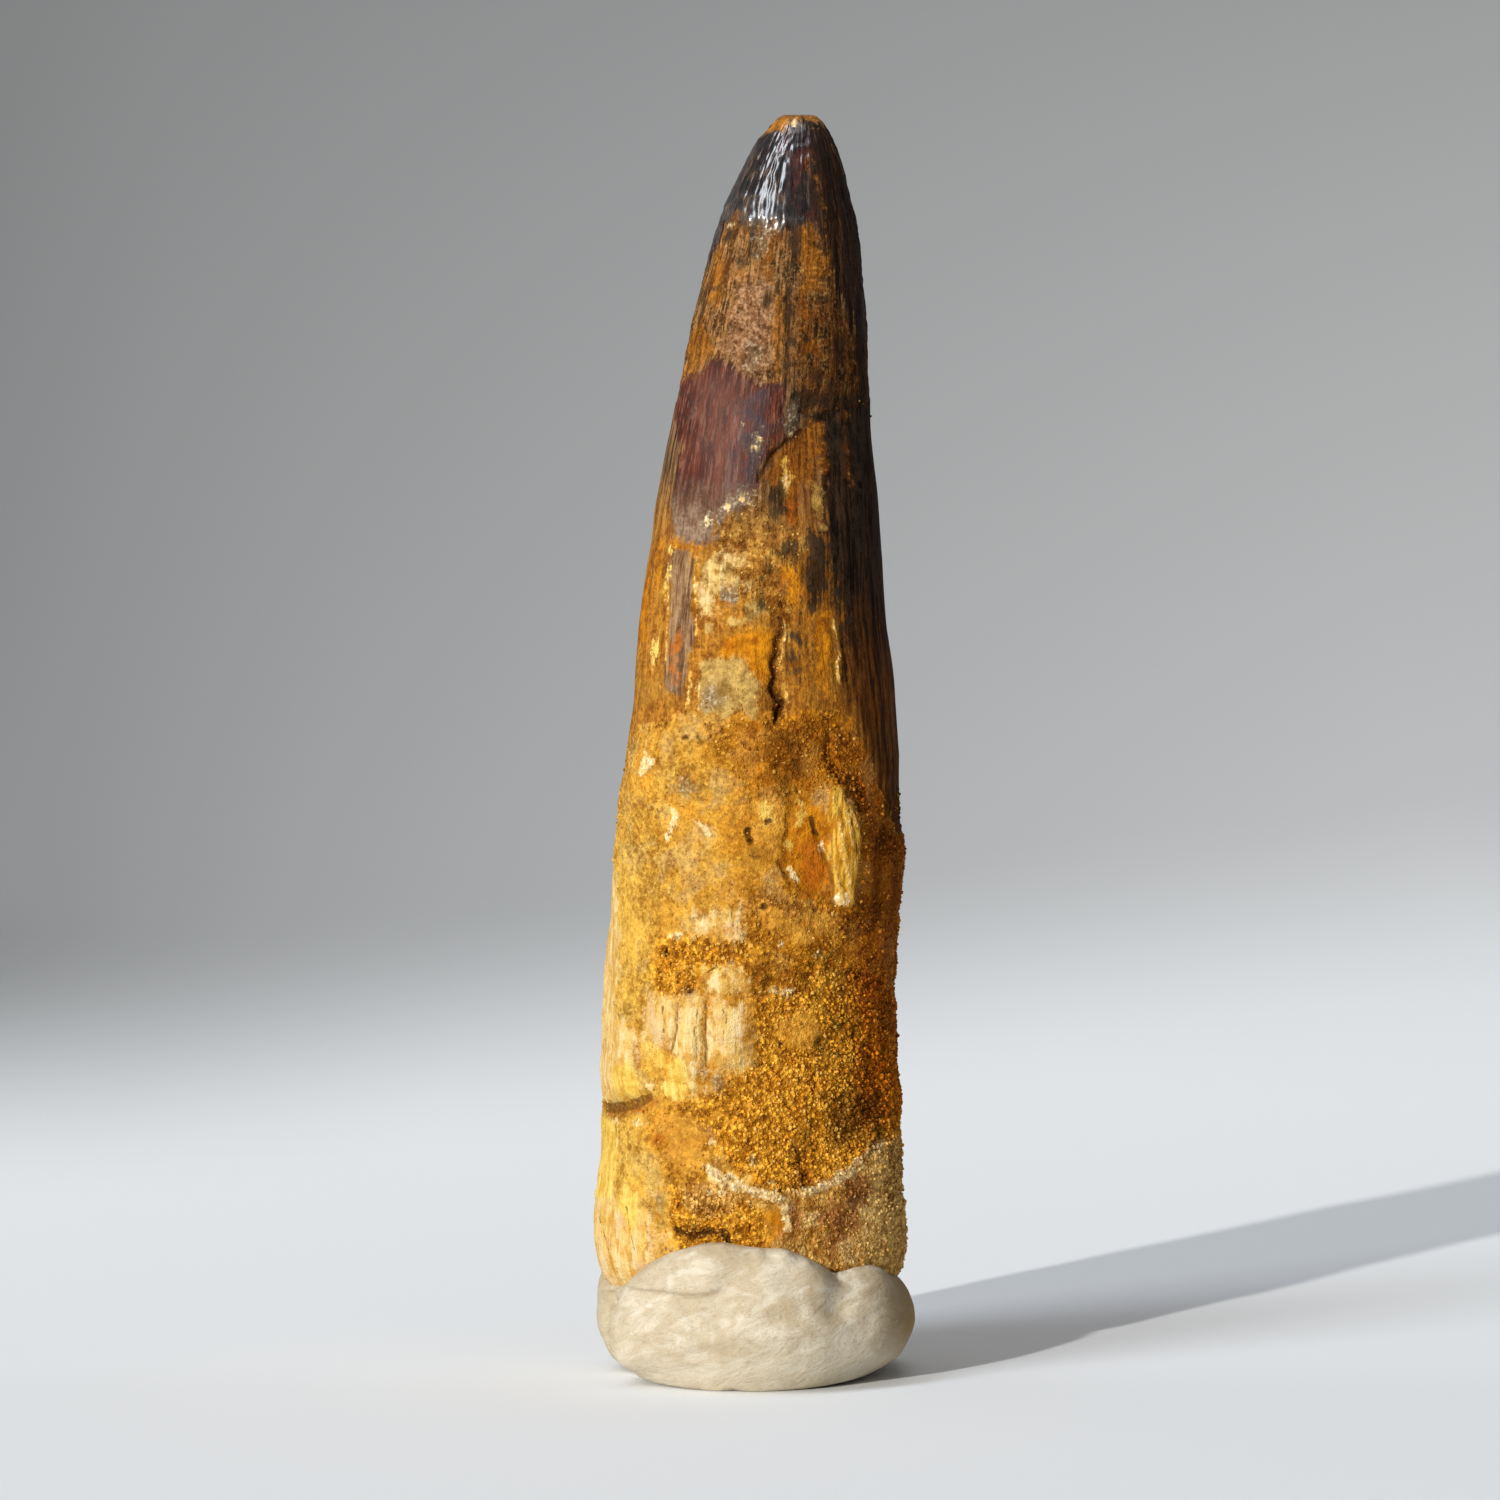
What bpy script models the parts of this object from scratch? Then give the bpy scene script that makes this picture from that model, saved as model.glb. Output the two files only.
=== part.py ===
"""Fossil mosasaur tooth, crown and root in one piece, standing in a lump of mounting putty.

Metres, +Z up. Angles run round the tooth in degrees from its front (-Y), positive towards +X.
Sizes below are in millimetres and become metres where a vertex is made. Heights are counted from a level a
little below the putty's foot, and the finished object is then set down on the origin.
"""

import math

import bmesh
import bpy
from mathutils import Vector, noise

MM = 0.001

# The tooth's outline from the front: height, left edge, right edge. It leans and tapers to the right.
TOOTH_OUTLINE = [
    (3.5, -5.0, 4.6),
    (4.2, -8.4, 7.8),
    (5.6, -10.0, 9.4),
    (7.4, -10.6, 9.9),
    (8.4, -11.5, 10.7),
    (9.3, -12.1, 11.3),
    (11.0, -12.3, 11.6),
    (15.0, -12.3, 11.5),
    (19.5, -12.0, 11.4),
    (22.5, -11.9, 11.3),
    (26.5, -11.9, 11.1),
    (33.0, -11.6, 11.0),
    (38.5, -11.1, 11.2),
    (44.0, -10.6, 11.2),
    (49.5, -10.1, 11.0),
    (53.5, -9.6, 10.9),
    (59.0, -9.0, 10.3),
    (64.5, -8.3, 9.8),
    (70.0, -7.5, 9.4),
    (75.0, -6.7, 9.0),
    (79.0, -5.7, 8.8),
    (83.0, -4.8, 8.6),
    (87.0, -3.8, 8.2),
    (90.5, -2.9, 7.7),
    (92.5, -2.1, 7.2),
    (94.6, -1.1, 6.6),
    (96.8, 0.2, 5.9),
    (97.9, 0.9, 5.5),
    (98.5, 1.4, 5.3),
    (98.9, 1.8, 4.8),
]
DEPTH_SHARE = 0.93  # front to back over side to side
TIP_BEND = 1.7  # how far the tip leans away from the front
BEND_FROM = 40.0
TOOTH_AROUND = 60
TOOTH_RINGS = 60
ROOT_END = [3.5, 4.2, 5.2, 6.4, 7.6]  # heights of the rings that are hidden in the putty
SHOWN_FROM = 8.7
RING_EASE = 0.8  # under 1, the rings gather towards the tip
TIP_DOME = 0.05

# Weathered undulation of the whole surface: wavelength and swing, on the crown and on the root.
WAVE_LENGTH = 6.5
CROWN_WAVE = 0.07
ROOT_WAVE = 0.26
CROWN_BLEND = (50.0, 72.0)  # heights over which the one becomes the other

# The enamel cap's lower edge round the tooth: angle, height. Above it the enamel stands proud.
ENAMEL_EDGE = [(-180, 70), (-120, 68), (-65, 66.5), (-30, 68), (-8, 70.5), (16, 76.6), (80, 76.3), (130, 72)]
ENAMEL_THICK = 0.22
# The sandy crust's upper edge round the root, where the crust ends in a raised lip.
CRUST_EDGE = [(-180, 50), (-110, 46), (-72, 49.5), (-34, 53), (28, 52.4), (58, 45.5), (90, 44), (130, 52)]
CRUST_THICK = 0.30
CRUST_LIP = (2.0, 11.0)  # how far below its edge the lip thins out
EDGE_SOFTNESS = 0.8  # over how much height such an edge rises
# All relief fades out over these heights, at the hidden end and at the tip.
ROOT_FADE = (3.5, 9.0)
TIP_FADE = (94.5, 98.6)
NOISE_FALLOFF = 0.8
NOISE_SCALING = 2.0

# The two cutting edges that run down the crown: angle at the tip, angle lower down.
CARINAE = [(30, 40), (-146, -140)]
CARINA_TOP = 97.0
CARINA_FOOT = 58.0
CARINA_FADE = 12.0
CARINA_PROUD = 0.30
CARINA_HALF_WIDTH = 1.3

# A groove or ridge ends at this many half widths from its middle, and a pit or lump at this many radii.
LINE_REACH = 1.6
SPOT_REACH = 1.3
# Grooves (below 0) and ridges (above 0): route as angle and height, half width, relief.
LINES = [
    ([(16, 76.5), (45, 76.1), (78, 76.4)], 0.7, -0.28),  # crack round the crown
    ([(5, 60.4), (4, 57.0), (7, 54.6), (9, 52.4)], 0.8, -0.60),  # long crack below the crown
    ([(28, 52.0), (38, 49.5), (50, 47.0), (58, 45.2), (61, 42.5)], 1.1, -0.50),  # crumbled furrow
    ([(33, 47.4), (41, 44.4), (42, 41.2), (36, 38.4)], 1.3, 0.50),  # fibrous splinter
    ([(-104, 22.6), (-83, 22.0), (-60, 22.4), (-43, 22.9)], 1.0, -0.60),  # break below the bone plate
    ([(-12, 17.8), (10, 16.8), (31, 15.9), (50, 18.0), (66, 20.2)], 1.0, 0.50),  # rim of the pale crust
    ([(-33, 13.0), (-20, 13.5), (-9, 13.8)], 0.9, -0.45),  # hollow over the putty
    ([(-47, 30.5), (-45, 27.5), (-46, 24.4)], 0.7, -0.28),  # gap between two bone plates
    ([(-8, 31.0), (-9, 27.0), (-7, 23.6)], 0.7, -0.25),  # split in the bone
    ([(150, 66.0), (154, 60.0), (149, 54.5), (152, 49.0)], 0.9, -0.55),  # long crack at the back
    ([(-170, 44.0), (-160, 41.5), (-146, 40.5)], 1.0, 0.40),
    ([(110, 24.0), (130, 26.5), (152, 25.0)], 1.1, -0.45),
    ([(-125, 34.0), (-128, 29.0), (-122, 25.5)], 0.9, 0.40),
]

# Areas that stand proud or lie sunk: outline as angle and height, relief.
PLATES = [
    ([(-7, 71.2), (17, 76.3), (42, 75.8), (46, 68.5), (22, 66.6), (-3, 68.0)], -0.42),  # chipped enamel
    ([(-58, 65.8), (-38, 65.9), (-32, 54.1), (-47, 54.0)], 0.26),  # strip of enamel left on the neck
    ([(12, 42.8), (21, 45.2), (31, 44.6), (35, 40.6), (30, 38.6), (17, 39.7)], -0.42),  # orange hollow
    ([(-104, 34.0), (-62, 33.6), (-49, 30.5), (-50, 23.4), (-104, 23.2)], 0.16),  # yellow bone plate
    ([(-41, 31.5), (-12, 33.0), (-9, 25.0), (-22, 23.2), (-38, 24.0)], 0.18),  # pale bone plate
    ([(4, 31.5), (32, 31.8), (58, 29.0), (68, 22.5), (50, 19.6), (31, 17.6), (6, 18.8), (-3, 24.0)], -0.34),
    ([(-96, 20.4), (-48, 20.8), (-42, 10.0), (-96, 9.4)], 0.10),  # streaked bone low on the left
    ([(150, 74.0), (172, 76.5), (-172, 72.0), (178, 66.0), (158, 67.5)], -0.40),
    ([(-158, 63.5), (-138, 64.2), (-134, 55.5), (-154, 54.0)], 0.26),
    ([(120, 38.5), (150, 40.5), (172, 36.5), (168, 30.0), (132, 31.0)], -0.42),
    ([(-160, 26.0), (-130, 24.5), (-126, 15.5), (-155, 14.0)], 0.35),
]
PLATE_EDGE = 0.6  # width of a plate's sloping edge

# Pits (below 0) and lumps (above 0): angle, height, radius, relief.
SPOTS = [
    (-5, 43.6, 0.9, -0.80),
    (-37, 34.4, 1.1, -0.55),
    (45, 14.6, 1.7, -0.45),
    (30, 17.6, 1.2, -0.45),
    (-14, 62.6, 1.3, 0.30),
    (90, 15.6, 1.0, 0.50),
    (90, 11.8, 1.1, 0.55),
    (88, 41.2, 1.3, 0.25),
    (112, 57.0, 1.2, -0.45),
    (-100, 41.0, 1.3, -0.40),
    (170, 20.5, 1.4, 0.45),
    (-178, 57.5, 1.0, -0.60),
    (140, 14.0, 1.6, -0.40),
]

# The putty lump round the tooth: angle, then height of its lip, and radius at its bulge and at its foot.
PUTTY_FORM = [
    (-180, 10.4, 13.4, 10.7),
    (-150, 11.4, 13.5, 10.8),
    (-120, 9.9, 13.0, 10.3),
    (-98, 8.8, 12.55, 9.9),
    (-84, 8.5, 12.2, 9.5),
    (-72, 8.3, 11.4, 8.9),
    (-66, 8.3, 10.9, 8.7),
    (-58, 8.5, 12.7, 9.9),
    (-48, 9.3, 13.9, 10.8),
    (-36, 11.3, 14.2, 11.2),
    (-18, 12.7, 14.3, 11.4),
    (-11, 12.9, 14.3, 11.4),
    (0, 12.4, 14.3, 11.4),
    (14, 12.2, 14.2, 11.3),
    (26, 11.1, 14.0, 11.2),
    (35, 10.2, 13.8, 10.9),
    (44, 10.6, 13.8, 10.6),
    (58, 10.3, 13.4, 10.2),
    (74, 9.5, 12.9, 9.8),
    (92, 9.0, 12.4, 9.6),
    (125, 10.4, 13.0, 10.2),
    (150, 11.0, 13.5, 10.7),
]
PUTTY_FOOT = 1.25
BULGE_HEIGHT = 6.2
PUTTY_LIP = 0.55  # thickness of the lip pressed onto the tooth
LIP_ROUND = 0.3
LIP_INSET = 0.17  # the lip's rounded top edge, in from its outside and down from its top
LIP_DROP = 0.12
SOCKET_GAP = 0.35
SOCKET_WALL = 4  # steps down the inside of the lip, above those last rings
# How much lower each of the socket's last rings lies than the tooth's.
SOCKET_DROP = [0.05, 0.15, 0.25, 0.35, 0.40]
FOOT_TO_BULGE = 5  # rings on the outside, below and above the bulge
BULGE_TO_LIP = 5
PUTTY_DENTS = 0.22
DENTS_FROM = (1.4, 3.5)  # heights over which the dents and folds set in
DENT_LENGTH = 5.0
# Folds pressed into the putty: route as angle and height, half width, depth.
FOLDS = [
    ([(-57, 8.4), (-44, 8.2), (-30, 7.6), (-16, 8.0), (-7, 9.6)], 0.9, 0.50),
    ([(35, 10.4), (33, 8.4), (25, 7.6)], 0.9, 0.40),
    ([(160, 9.0), (140, 7.0), (118, 6.6)], 1.0, 0.45),
    ([(-165, 4.5), (-140, 6.0), (-112, 5.4)], 1.0, 0.40),
]


def smooth_step(edge_low, edge_high, value):
    """0 below the low edge, 1 above the high one, and a smooth rise between them."""
    share = min(1.0, max(0.0, (value - edge_low) / (edge_high - edge_low)))
    return share * share * (3 - 2 * share)


def smooth_column(rows, value, column):
    """One column of a table, read at a value of its first column along a smooth curve through the rows."""
    last = len(rows) - 1
    if value <= rows[0][0]:
        return rows[0][column]
    if value >= rows[last][0]:
        return rows[last][column]
    i = next(k for k in range(last) if value <= rows[k + 1][0])

    def slope(k):
        before, after = rows[max(0, k - 1)], rows[min(last, k + 1)]
        return (after[column] - before[column]) / (after[0] - before[0])

    low, high = rows[i], rows[i + 1]
    span = high[0] - low[0]
    t = (value - low[0]) / span
    return (
        (2 * t**3 - 3 * t**2 + 1) * low[column]
        + (t**3 - 2 * t**2 + t) * span * slope(i)
        + (3 * t**2 - 2 * t**3) * high[column]
        + (t**3 - t**2) * span * slope(i + 1)
    )


def round_column(rows, angle, column):
    """As smooth_column, for a table that closes on itself round the tooth."""
    turn = [(row[0] - 360, *row[1:]) for row in rows] + rows + [(row[0] + 360, *row[1:]) for row in rows]
    return smooth_column(turn, angle, column)


def turned(angle, middle):
    """The angle, a whole turn up or down if that brings it nearer to the middle."""
    return middle + (angle - middle + 180) % 360 - 180


def unrolled(points, angle, height, radius):
    """The points and the place, laid flat as arc length and height, in millimetres."""
    middle = points[0][0]
    flat = [(math.radians(turned(a, middle)) * radius, h) for a, h in points]
    return flat, (math.radians(turned(angle, middle)) * radius, height)


def distance_to_line(points, place):
    """Distance from the place to the open line through the points."""
    px, py = place
    best = math.inf
    for (ax, ay), (bx, by) in zip(points, points[1:]):
        dx, dy = bx - ax, by - ay
        t = max(0.0, min(1.0, ((px - ax) * dx + (py - ay) * dy) / (dx * dx + dy * dy)))
        best = min(best, math.hypot(px - ax - t * dx, py - ay - t * dy))
    return best


def depth_inside(points, place):
    """How far the place lies inside the closed outline, and below 0 how far outside."""
    px, py = place
    inside = False
    closed = points + points[:1]
    for (ax, ay), (bx, by) in zip(closed, closed[1:]):
        if (ay > py) != (by > py) and px < ax + (py - ay) / (by - ay) * (bx - ax):
            inside = not inside
    away = distance_to_line(closed, place)
    return away if inside else -away


def line_relief(lines, angle, height, radius):
    total = 0.0
    for points, half_width, relief in lines:
        away = distance_to_line(*unrolled(points, angle, height, radius))
        total += relief * (1 - smooth_step(0.0, LINE_REACH * half_width, away))
    return total


def tooth_relief(angle, height, radius):
    """How far the weathered surface stands out from the plain tapering form."""
    place = Vector((radius * math.sin(math.radians(angle)), radius * math.cos(math.radians(angle)), height))
    crown = smooth_step(*CROWN_BLEND, height)
    wave = CROWN_WAVE * crown + ROOT_WAVE * (1 - crown)
    relief = wave * noise.fractal(place / WAVE_LENGTH, NOISE_FALLOFF, NOISE_SCALING, 3)
    enamel_edge = round_column(ENAMEL_EDGE, angle, 1)
    relief += ENAMEL_THICK * smooth_step(0, EDGE_SOFTNESS, height - enamel_edge)
    crust_edge = round_column(CRUST_EDGE, angle, 1)
    below = crust_edge - height
    relief += CRUST_THICK * smooth_step(0, EDGE_SOFTNESS, below) * (1 - smooth_step(*CRUST_LIP, below))
    for tip_angle, foot_angle in CARINAE:
        share = smooth_step(CARINA_FOOT, CARINA_TOP, height)
        away = abs(turned(angle, foot_angle) - foot_angle - share * (tip_angle - foot_angle))
        ridge = 1 - smooth_step(0, CARINA_HALF_WIDTH, math.radians(away) * radius)
        relief += CARINA_PROUD * ridge * smooth_step(CARINA_FOOT, CARINA_FOOT + CARINA_FADE, height)
    for points, plate in PLATES:
        deep = depth_inside(*unrolled(points, angle, height, radius))
        relief += plate * smooth_step(-PLATE_EDGE / 2, PLATE_EDGE / 2, deep)
    for spot_angle, spot_height, spot_radius, spot in SPOTS:
        across = math.radians(turned(angle, spot_angle) - spot_angle) * radius
        away = math.hypot(across, height - spot_height)
        relief += spot * (1 - smooth_step(0, SPOT_REACH * spot_radius, away))
    relief += line_relief(LINES, angle, height, radius)
    fade = smooth_step(*ROOT_FADE, height) * (1 - smooth_step(*TIP_FADE, height))
    return relief * fade


def tooth_point(angle, height, gap=0.0):
    """A point of the tooth's surface, or of a surface that far outside it."""
    left = smooth_column(TOOTH_OUTLINE, height, 1)
    right = smooth_column(TOOTH_OUTLINE, height, 2)
    middle = (left + right) / 2
    half = (right - left) / 2
    out = gap + tooth_relief(angle, height, half)
    bend = TIP_BEND * (max(0.0, height - BEND_FROM) / (TOOTH_OUTLINE[-1][0] - BEND_FROM)) ** 2
    turn = math.radians(angle)
    x = middle + (half + out) * math.sin(turn)
    y = bend - (half * DEPTH_SHARE + out) * math.cos(turn)
    return Vector((x, y, height))


def angles(count):
    return [-180 + 360 * i / count for i in range(count)]


def lofted(name, rings, first_pole, last_pole, finish):
    """One closed mesh over rings of points, fanned to a pole at each end. From +Z the rings run anticlockwise."""
    bm = bmesh.new()
    loops = [[bm.verts.new(point * MM) for point in ring] for ring in rings]
    count = len(loops[0])
    for low, high in zip(loops, loops[1:]):
        for i in range(count):
            j = (i + 1) % count
            bm.faces.new((low[i], low[j], high[j], high[i]))
    first, last = bm.verts.new(first_pole * MM), bm.verts.new(last_pole * MM)
    for i in range(count):
        j = (i + 1) % count
        bm.faces.new((first, loops[0][j], loops[0][i]))
        bm.faces.new((last, loops[-1][i], loops[-1][j]))
    bmesh.ops.triangulate(bm, faces=bm.faces[:], quad_method="SHORT_EDGE")
    bmesh.ops.recalc_face_normals(bm, faces=bm.faces[:])
    mesh = bpy.data.meshes.new(name)
    bm.to_mesh(mesh)
    bm.free()
    mesh.shade_smooth()
    mesh.materials.append(finish)
    made = bpy.data.objects.new(name, mesh)
    bpy.context.scene.collection.objects.link(made)
    return made


def centre_of(ring, height):
    middle = sum(ring, Vector()) / len(ring)
    return Vector((middle.x, middle.y, height))


def make_tooth(finish):
    top = TOOTH_OUTLINE[-1][0]
    heights = list(ROOT_END)
    steps = TOOTH_RINGS - len(heights)
    for i in range(steps):
        share = i / (steps - 1)
        eased = share * (2 - RING_EASE) - (1 - RING_EASE) * share**2
        heights.append(SHOWN_FROM + (top - SHOWN_FROM) * eased)
    rings = [[tooth_point(a, h) for a in angles(TOOTH_AROUND)] for h in heights]
    root_pole = centre_of(rings[0], ROOT_END[0])
    tip_pole = centre_of(rings[-1], top + TIP_DOME)
    return lofted("tooth", rings, root_pole, tip_pole, finish)


def putty_ring_heights():
    """Shares of the way from foot to bulge, and from bulge to lip."""
    below = [i / FOOT_TO_BULGE for i in range(FOOT_TO_BULGE)]
    above = [i / BULGE_TO_LIP for i in range(BULGE_TO_LIP)]
    return below, above


def putty_outside(angle, height, radius):
    """The radius with the lump's dents and folds in it."""
    turn = math.radians(angle)
    place = Vector((radius * math.sin(turn), radius * math.cos(turn), height))
    dents = PUTTY_DENTS * noise.fractal(place / DENT_LENGTH, NOISE_FALLOFF, NOISE_SCALING, 2)
    folds = line_relief([(route, half, -deep) for route, half, deep in FOLDS], angle, height, radius)
    return radius + (dents + folds) * smooth_step(*DENTS_FROM, height)


def putty_column(angle):
    """The lump's section at one angle, from its foot, out over the bulge and lip, and down the socket."""
    lip = round_column(PUTTY_FORM, angle, 1)
    bulge = round_column(PUTTY_FORM, angle, 2)
    foot = round_column(PUTTY_FORM, angle, 3)
    lip_inside = tooth_point(angle, lip, SOCKET_GAP)
    aside = Vector((lip_inside.x, lip_inside.y, 0.0)).normalized()
    lip_radius = lip_inside.xy.length + PUTTY_LIP
    below, above = putty_ring_heights()
    column = [aside * foot + Vector((0, 0, PUTTY_FOOT))]
    for share in below[1:]:
        radius = foot + (bulge - foot) * math.sin(share * math.pi / 2)
        height = PUTTY_FOOT + (BULGE_HEIGHT - PUTTY_FOOT) * share
        column.append(aside * putty_outside(angle, height, radius) + Vector((0, 0, height)))
    for share in above:
        radius = lip_radius + (bulge - lip_radius) * math.cos(share * math.pi / 2)
        height = BULGE_HEIGHT + (lip - LIP_ROUND - BULGE_HEIGHT) * math.sin(share * math.pi / 2)
        column.append(aside * putty_outside(angle, height, radius) + Vector((0, 0, height)))
    column.append(aside * (lip_radius - LIP_INSET) + Vector((0, 0, lip - LIP_DROP)))
    column.append(lip_inside)
    for i in range(1, SOCKET_WALL):
        height = lip + (ROOT_END[-1] - lip) * i / SOCKET_WALL
        column.append(tooth_point(angle, height, SOCKET_GAP))
    for height, drop in zip(reversed(ROOT_END), SOCKET_DROP):
        point = tooth_point(angle, height, SOCKET_GAP)
        column.append(point - Vector((0, 0, drop)))
    return column


def make_putty(finish):
    columns = [putty_column(a) for a in angles(TOOTH_AROUND)]
    rings = [list(ring) for ring in zip(*columns)]
    under = Vector((0.0, 0.0, PUTTY_FOOT))
    floor = ROOT_END[0] - SOCKET_DROP[-1]
    return lofted("putty_base", rings, under, centre_of(rings[-1], floor), finish)


def finish(name, colour, roughness, metallic=0.0):
    material = bpy.data.materials.new(name)
    material.use_nodes = True
    shader = material.node_tree.nodes["Principled BSDF"]
    shader.inputs["Base Color"].default_value = (*colour, 1.0)
    shader.inputs["Roughness"].default_value = roughness
    shader.inputs["Metallic"].default_value = metallic
    return material


def set_on_origin(made):
    """Moves the object so that its box stands on the origin, centred."""
    corners = [vertex.co for part in made for vertex in part.data.vertices]
    low = Vector(min(corner[axis] for corner in corners) for axis in range(3))
    high = Vector(max(corner[axis] for corner in corners) for axis in range(3))
    for part in made:
        part.location = (-(low.x + high.x) / 2, -(low.y + high.y) / 2, -low.z)


def main():
    for old in list(bpy.data.objects):
        bpy.data.objects.remove(old)
    tooth = make_tooth(finish("fossil_enamel_and_bone", (0.42, 0.24, 0.08), 0.55))
    putty = make_putty(finish("mounting_putty", (0.66, 0.62, 0.54), 0.6))
    set_on_origin((tooth, putty))


main()
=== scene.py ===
"""The looks of a fossil mosasaur tooth that stands in a lump of mounting putty.

Metres, +Z up, front towards -Y. Two kinds of place are used on the tooth. Those on its front are pixels
of the 1500 x 1500 photograph, carried onto the surface along the camera's rays. Those round its sides and
back are degrees round the tooth from the front, positive towards +X, and millimetres of height.
"""

import itertools
import math

import bpy
import numpy as np
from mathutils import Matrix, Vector
from mathutils.bvhtree import BVHTree


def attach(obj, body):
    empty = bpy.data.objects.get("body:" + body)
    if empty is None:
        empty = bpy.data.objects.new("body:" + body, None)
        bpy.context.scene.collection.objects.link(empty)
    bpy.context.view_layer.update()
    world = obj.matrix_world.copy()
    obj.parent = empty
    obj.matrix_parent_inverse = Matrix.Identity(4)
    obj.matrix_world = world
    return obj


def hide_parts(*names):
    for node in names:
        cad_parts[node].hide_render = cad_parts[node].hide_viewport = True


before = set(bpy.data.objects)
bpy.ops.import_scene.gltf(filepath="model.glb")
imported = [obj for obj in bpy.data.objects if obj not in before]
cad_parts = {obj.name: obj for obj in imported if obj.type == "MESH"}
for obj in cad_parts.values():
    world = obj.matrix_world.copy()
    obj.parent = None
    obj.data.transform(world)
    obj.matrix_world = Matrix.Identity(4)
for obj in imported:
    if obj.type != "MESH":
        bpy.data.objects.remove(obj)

MM = 0.001

# The photograph's camera, in metres and degrees, its sensor in millimetres, and the size of a pixel at the
# tooth in millimetres.
PHOTO_SIZE = 1500
CAMERA_AT = (-0.0004, -0.5596, 0.08275)
CAMERA_PITCH = 3.5
FIELD_OF_VIEW = 11.85
SENSOR_WIDTH = 36.0
CLIP_START = 0.01
PIXEL = 0.0775
# How far the view spreads from one pixel to the next, at a distance of one.
SPREAD = math.tan(math.radians(FIELD_OF_VIEW / 2)) * 2 / PHOTO_SIZE

# The tooth's mesh is two closed shells, crown and root, that sink under each other where the crust ends:
# vertices round them, rings up them, and the share of the rings that lies above each height.
AROUND = 340
RINGS = 290
CROWN_HEIGHTS = [(0.0, 97.65), (0.012, 97.45), (0.035, 96.7), (0.07, 95.0), (1.0, 38.0)]
ROOT_HEIGHTS = [(0.0, 56.0), (0.985, 6.9), (1.0, 2.35)]
SPINE_STEP = 2.0
SINK = 0.45
SINK_WIDTH = 0.5
# The relief fades out between these heights, where the tooth's foot is hidden in the putty.
RELIEF_FADE = (2.3, 7.8)
# How near a vertex lies to a row of the photograph, in pixels, to count for the outline there.
ROW_REACH = 5
# Rings nearer to a pole than this share stay on the tooth's middle line, and the top of the crown stays
# this far below the solid's.
POLE = 0.001
TOP_GAP = 0.02
# Striations run on a laid-out skin of this radius, so that they draw together towards the tip.
SKIN_RADIUS = 9.0
# Marks are laid out as if the tooth were nowhere thinner than this radius.
LEAST_RADIUS = 1.0

# Finishes of the tooth. Some of them are painted shade, in part or whole, and one is a painted highlight.
# Each is an attribute of the mesh that holds how many millimetres a point lies inside the areas with that
# finish, which is negative outside them.
FINISHES = (
    "dark_bone", "worn_enamel", "pink_wear", "oxblood", "black_enamel", "amber", "grey_bone", "crust",
    "sand", "furrow", "packed", "umber_and_shade", "orange_bone", "rust", "olive_bone", "pale_bone", "yellow_bone",
    "flake", "pale_rim", "red_stain", "charcoal", "maroon", "ash", "cream", "thread", "groove_and_shade", "crack_and_shade",
    "grit", "painted_shade", "painted_sheen", "slate",
)
# Depths are kept between this and its opposite.
FAR_OUTSIDE = -2.5

# The outlines of tooth and putty before their relief: row, left edge and right edge in pixels.
OUTLINE = [
    (118, 775, 822), (128, 766, 830), (142, 754, 836), (170, 741, 844), (198, 728, 850), (226, 715, 859),
    (268, 703, 863), (320, 690, 868), (373, 680, 869), (426, 671, 870), (492, 658, 877), (559, 648, 882),
    (631, 638, 887), (705, 633, 895), (755, 626, 899), (823, 617, 900), (894, 612, 902), (965, 606, 895),
    (1049, 602, 897), (1104, 601, 899), (1140, 602, 899), (1196, 597, 899), (1240, 596, 904),
]
PUTTY_OUTLINE = [
    (1276, 599, 900), (1290, 597, 909), (1305, 597, 914), (1320, 596, 916), (1340, 600, 911),
    (1356, 606, 903), (1372, 628, 880),
]

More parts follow.
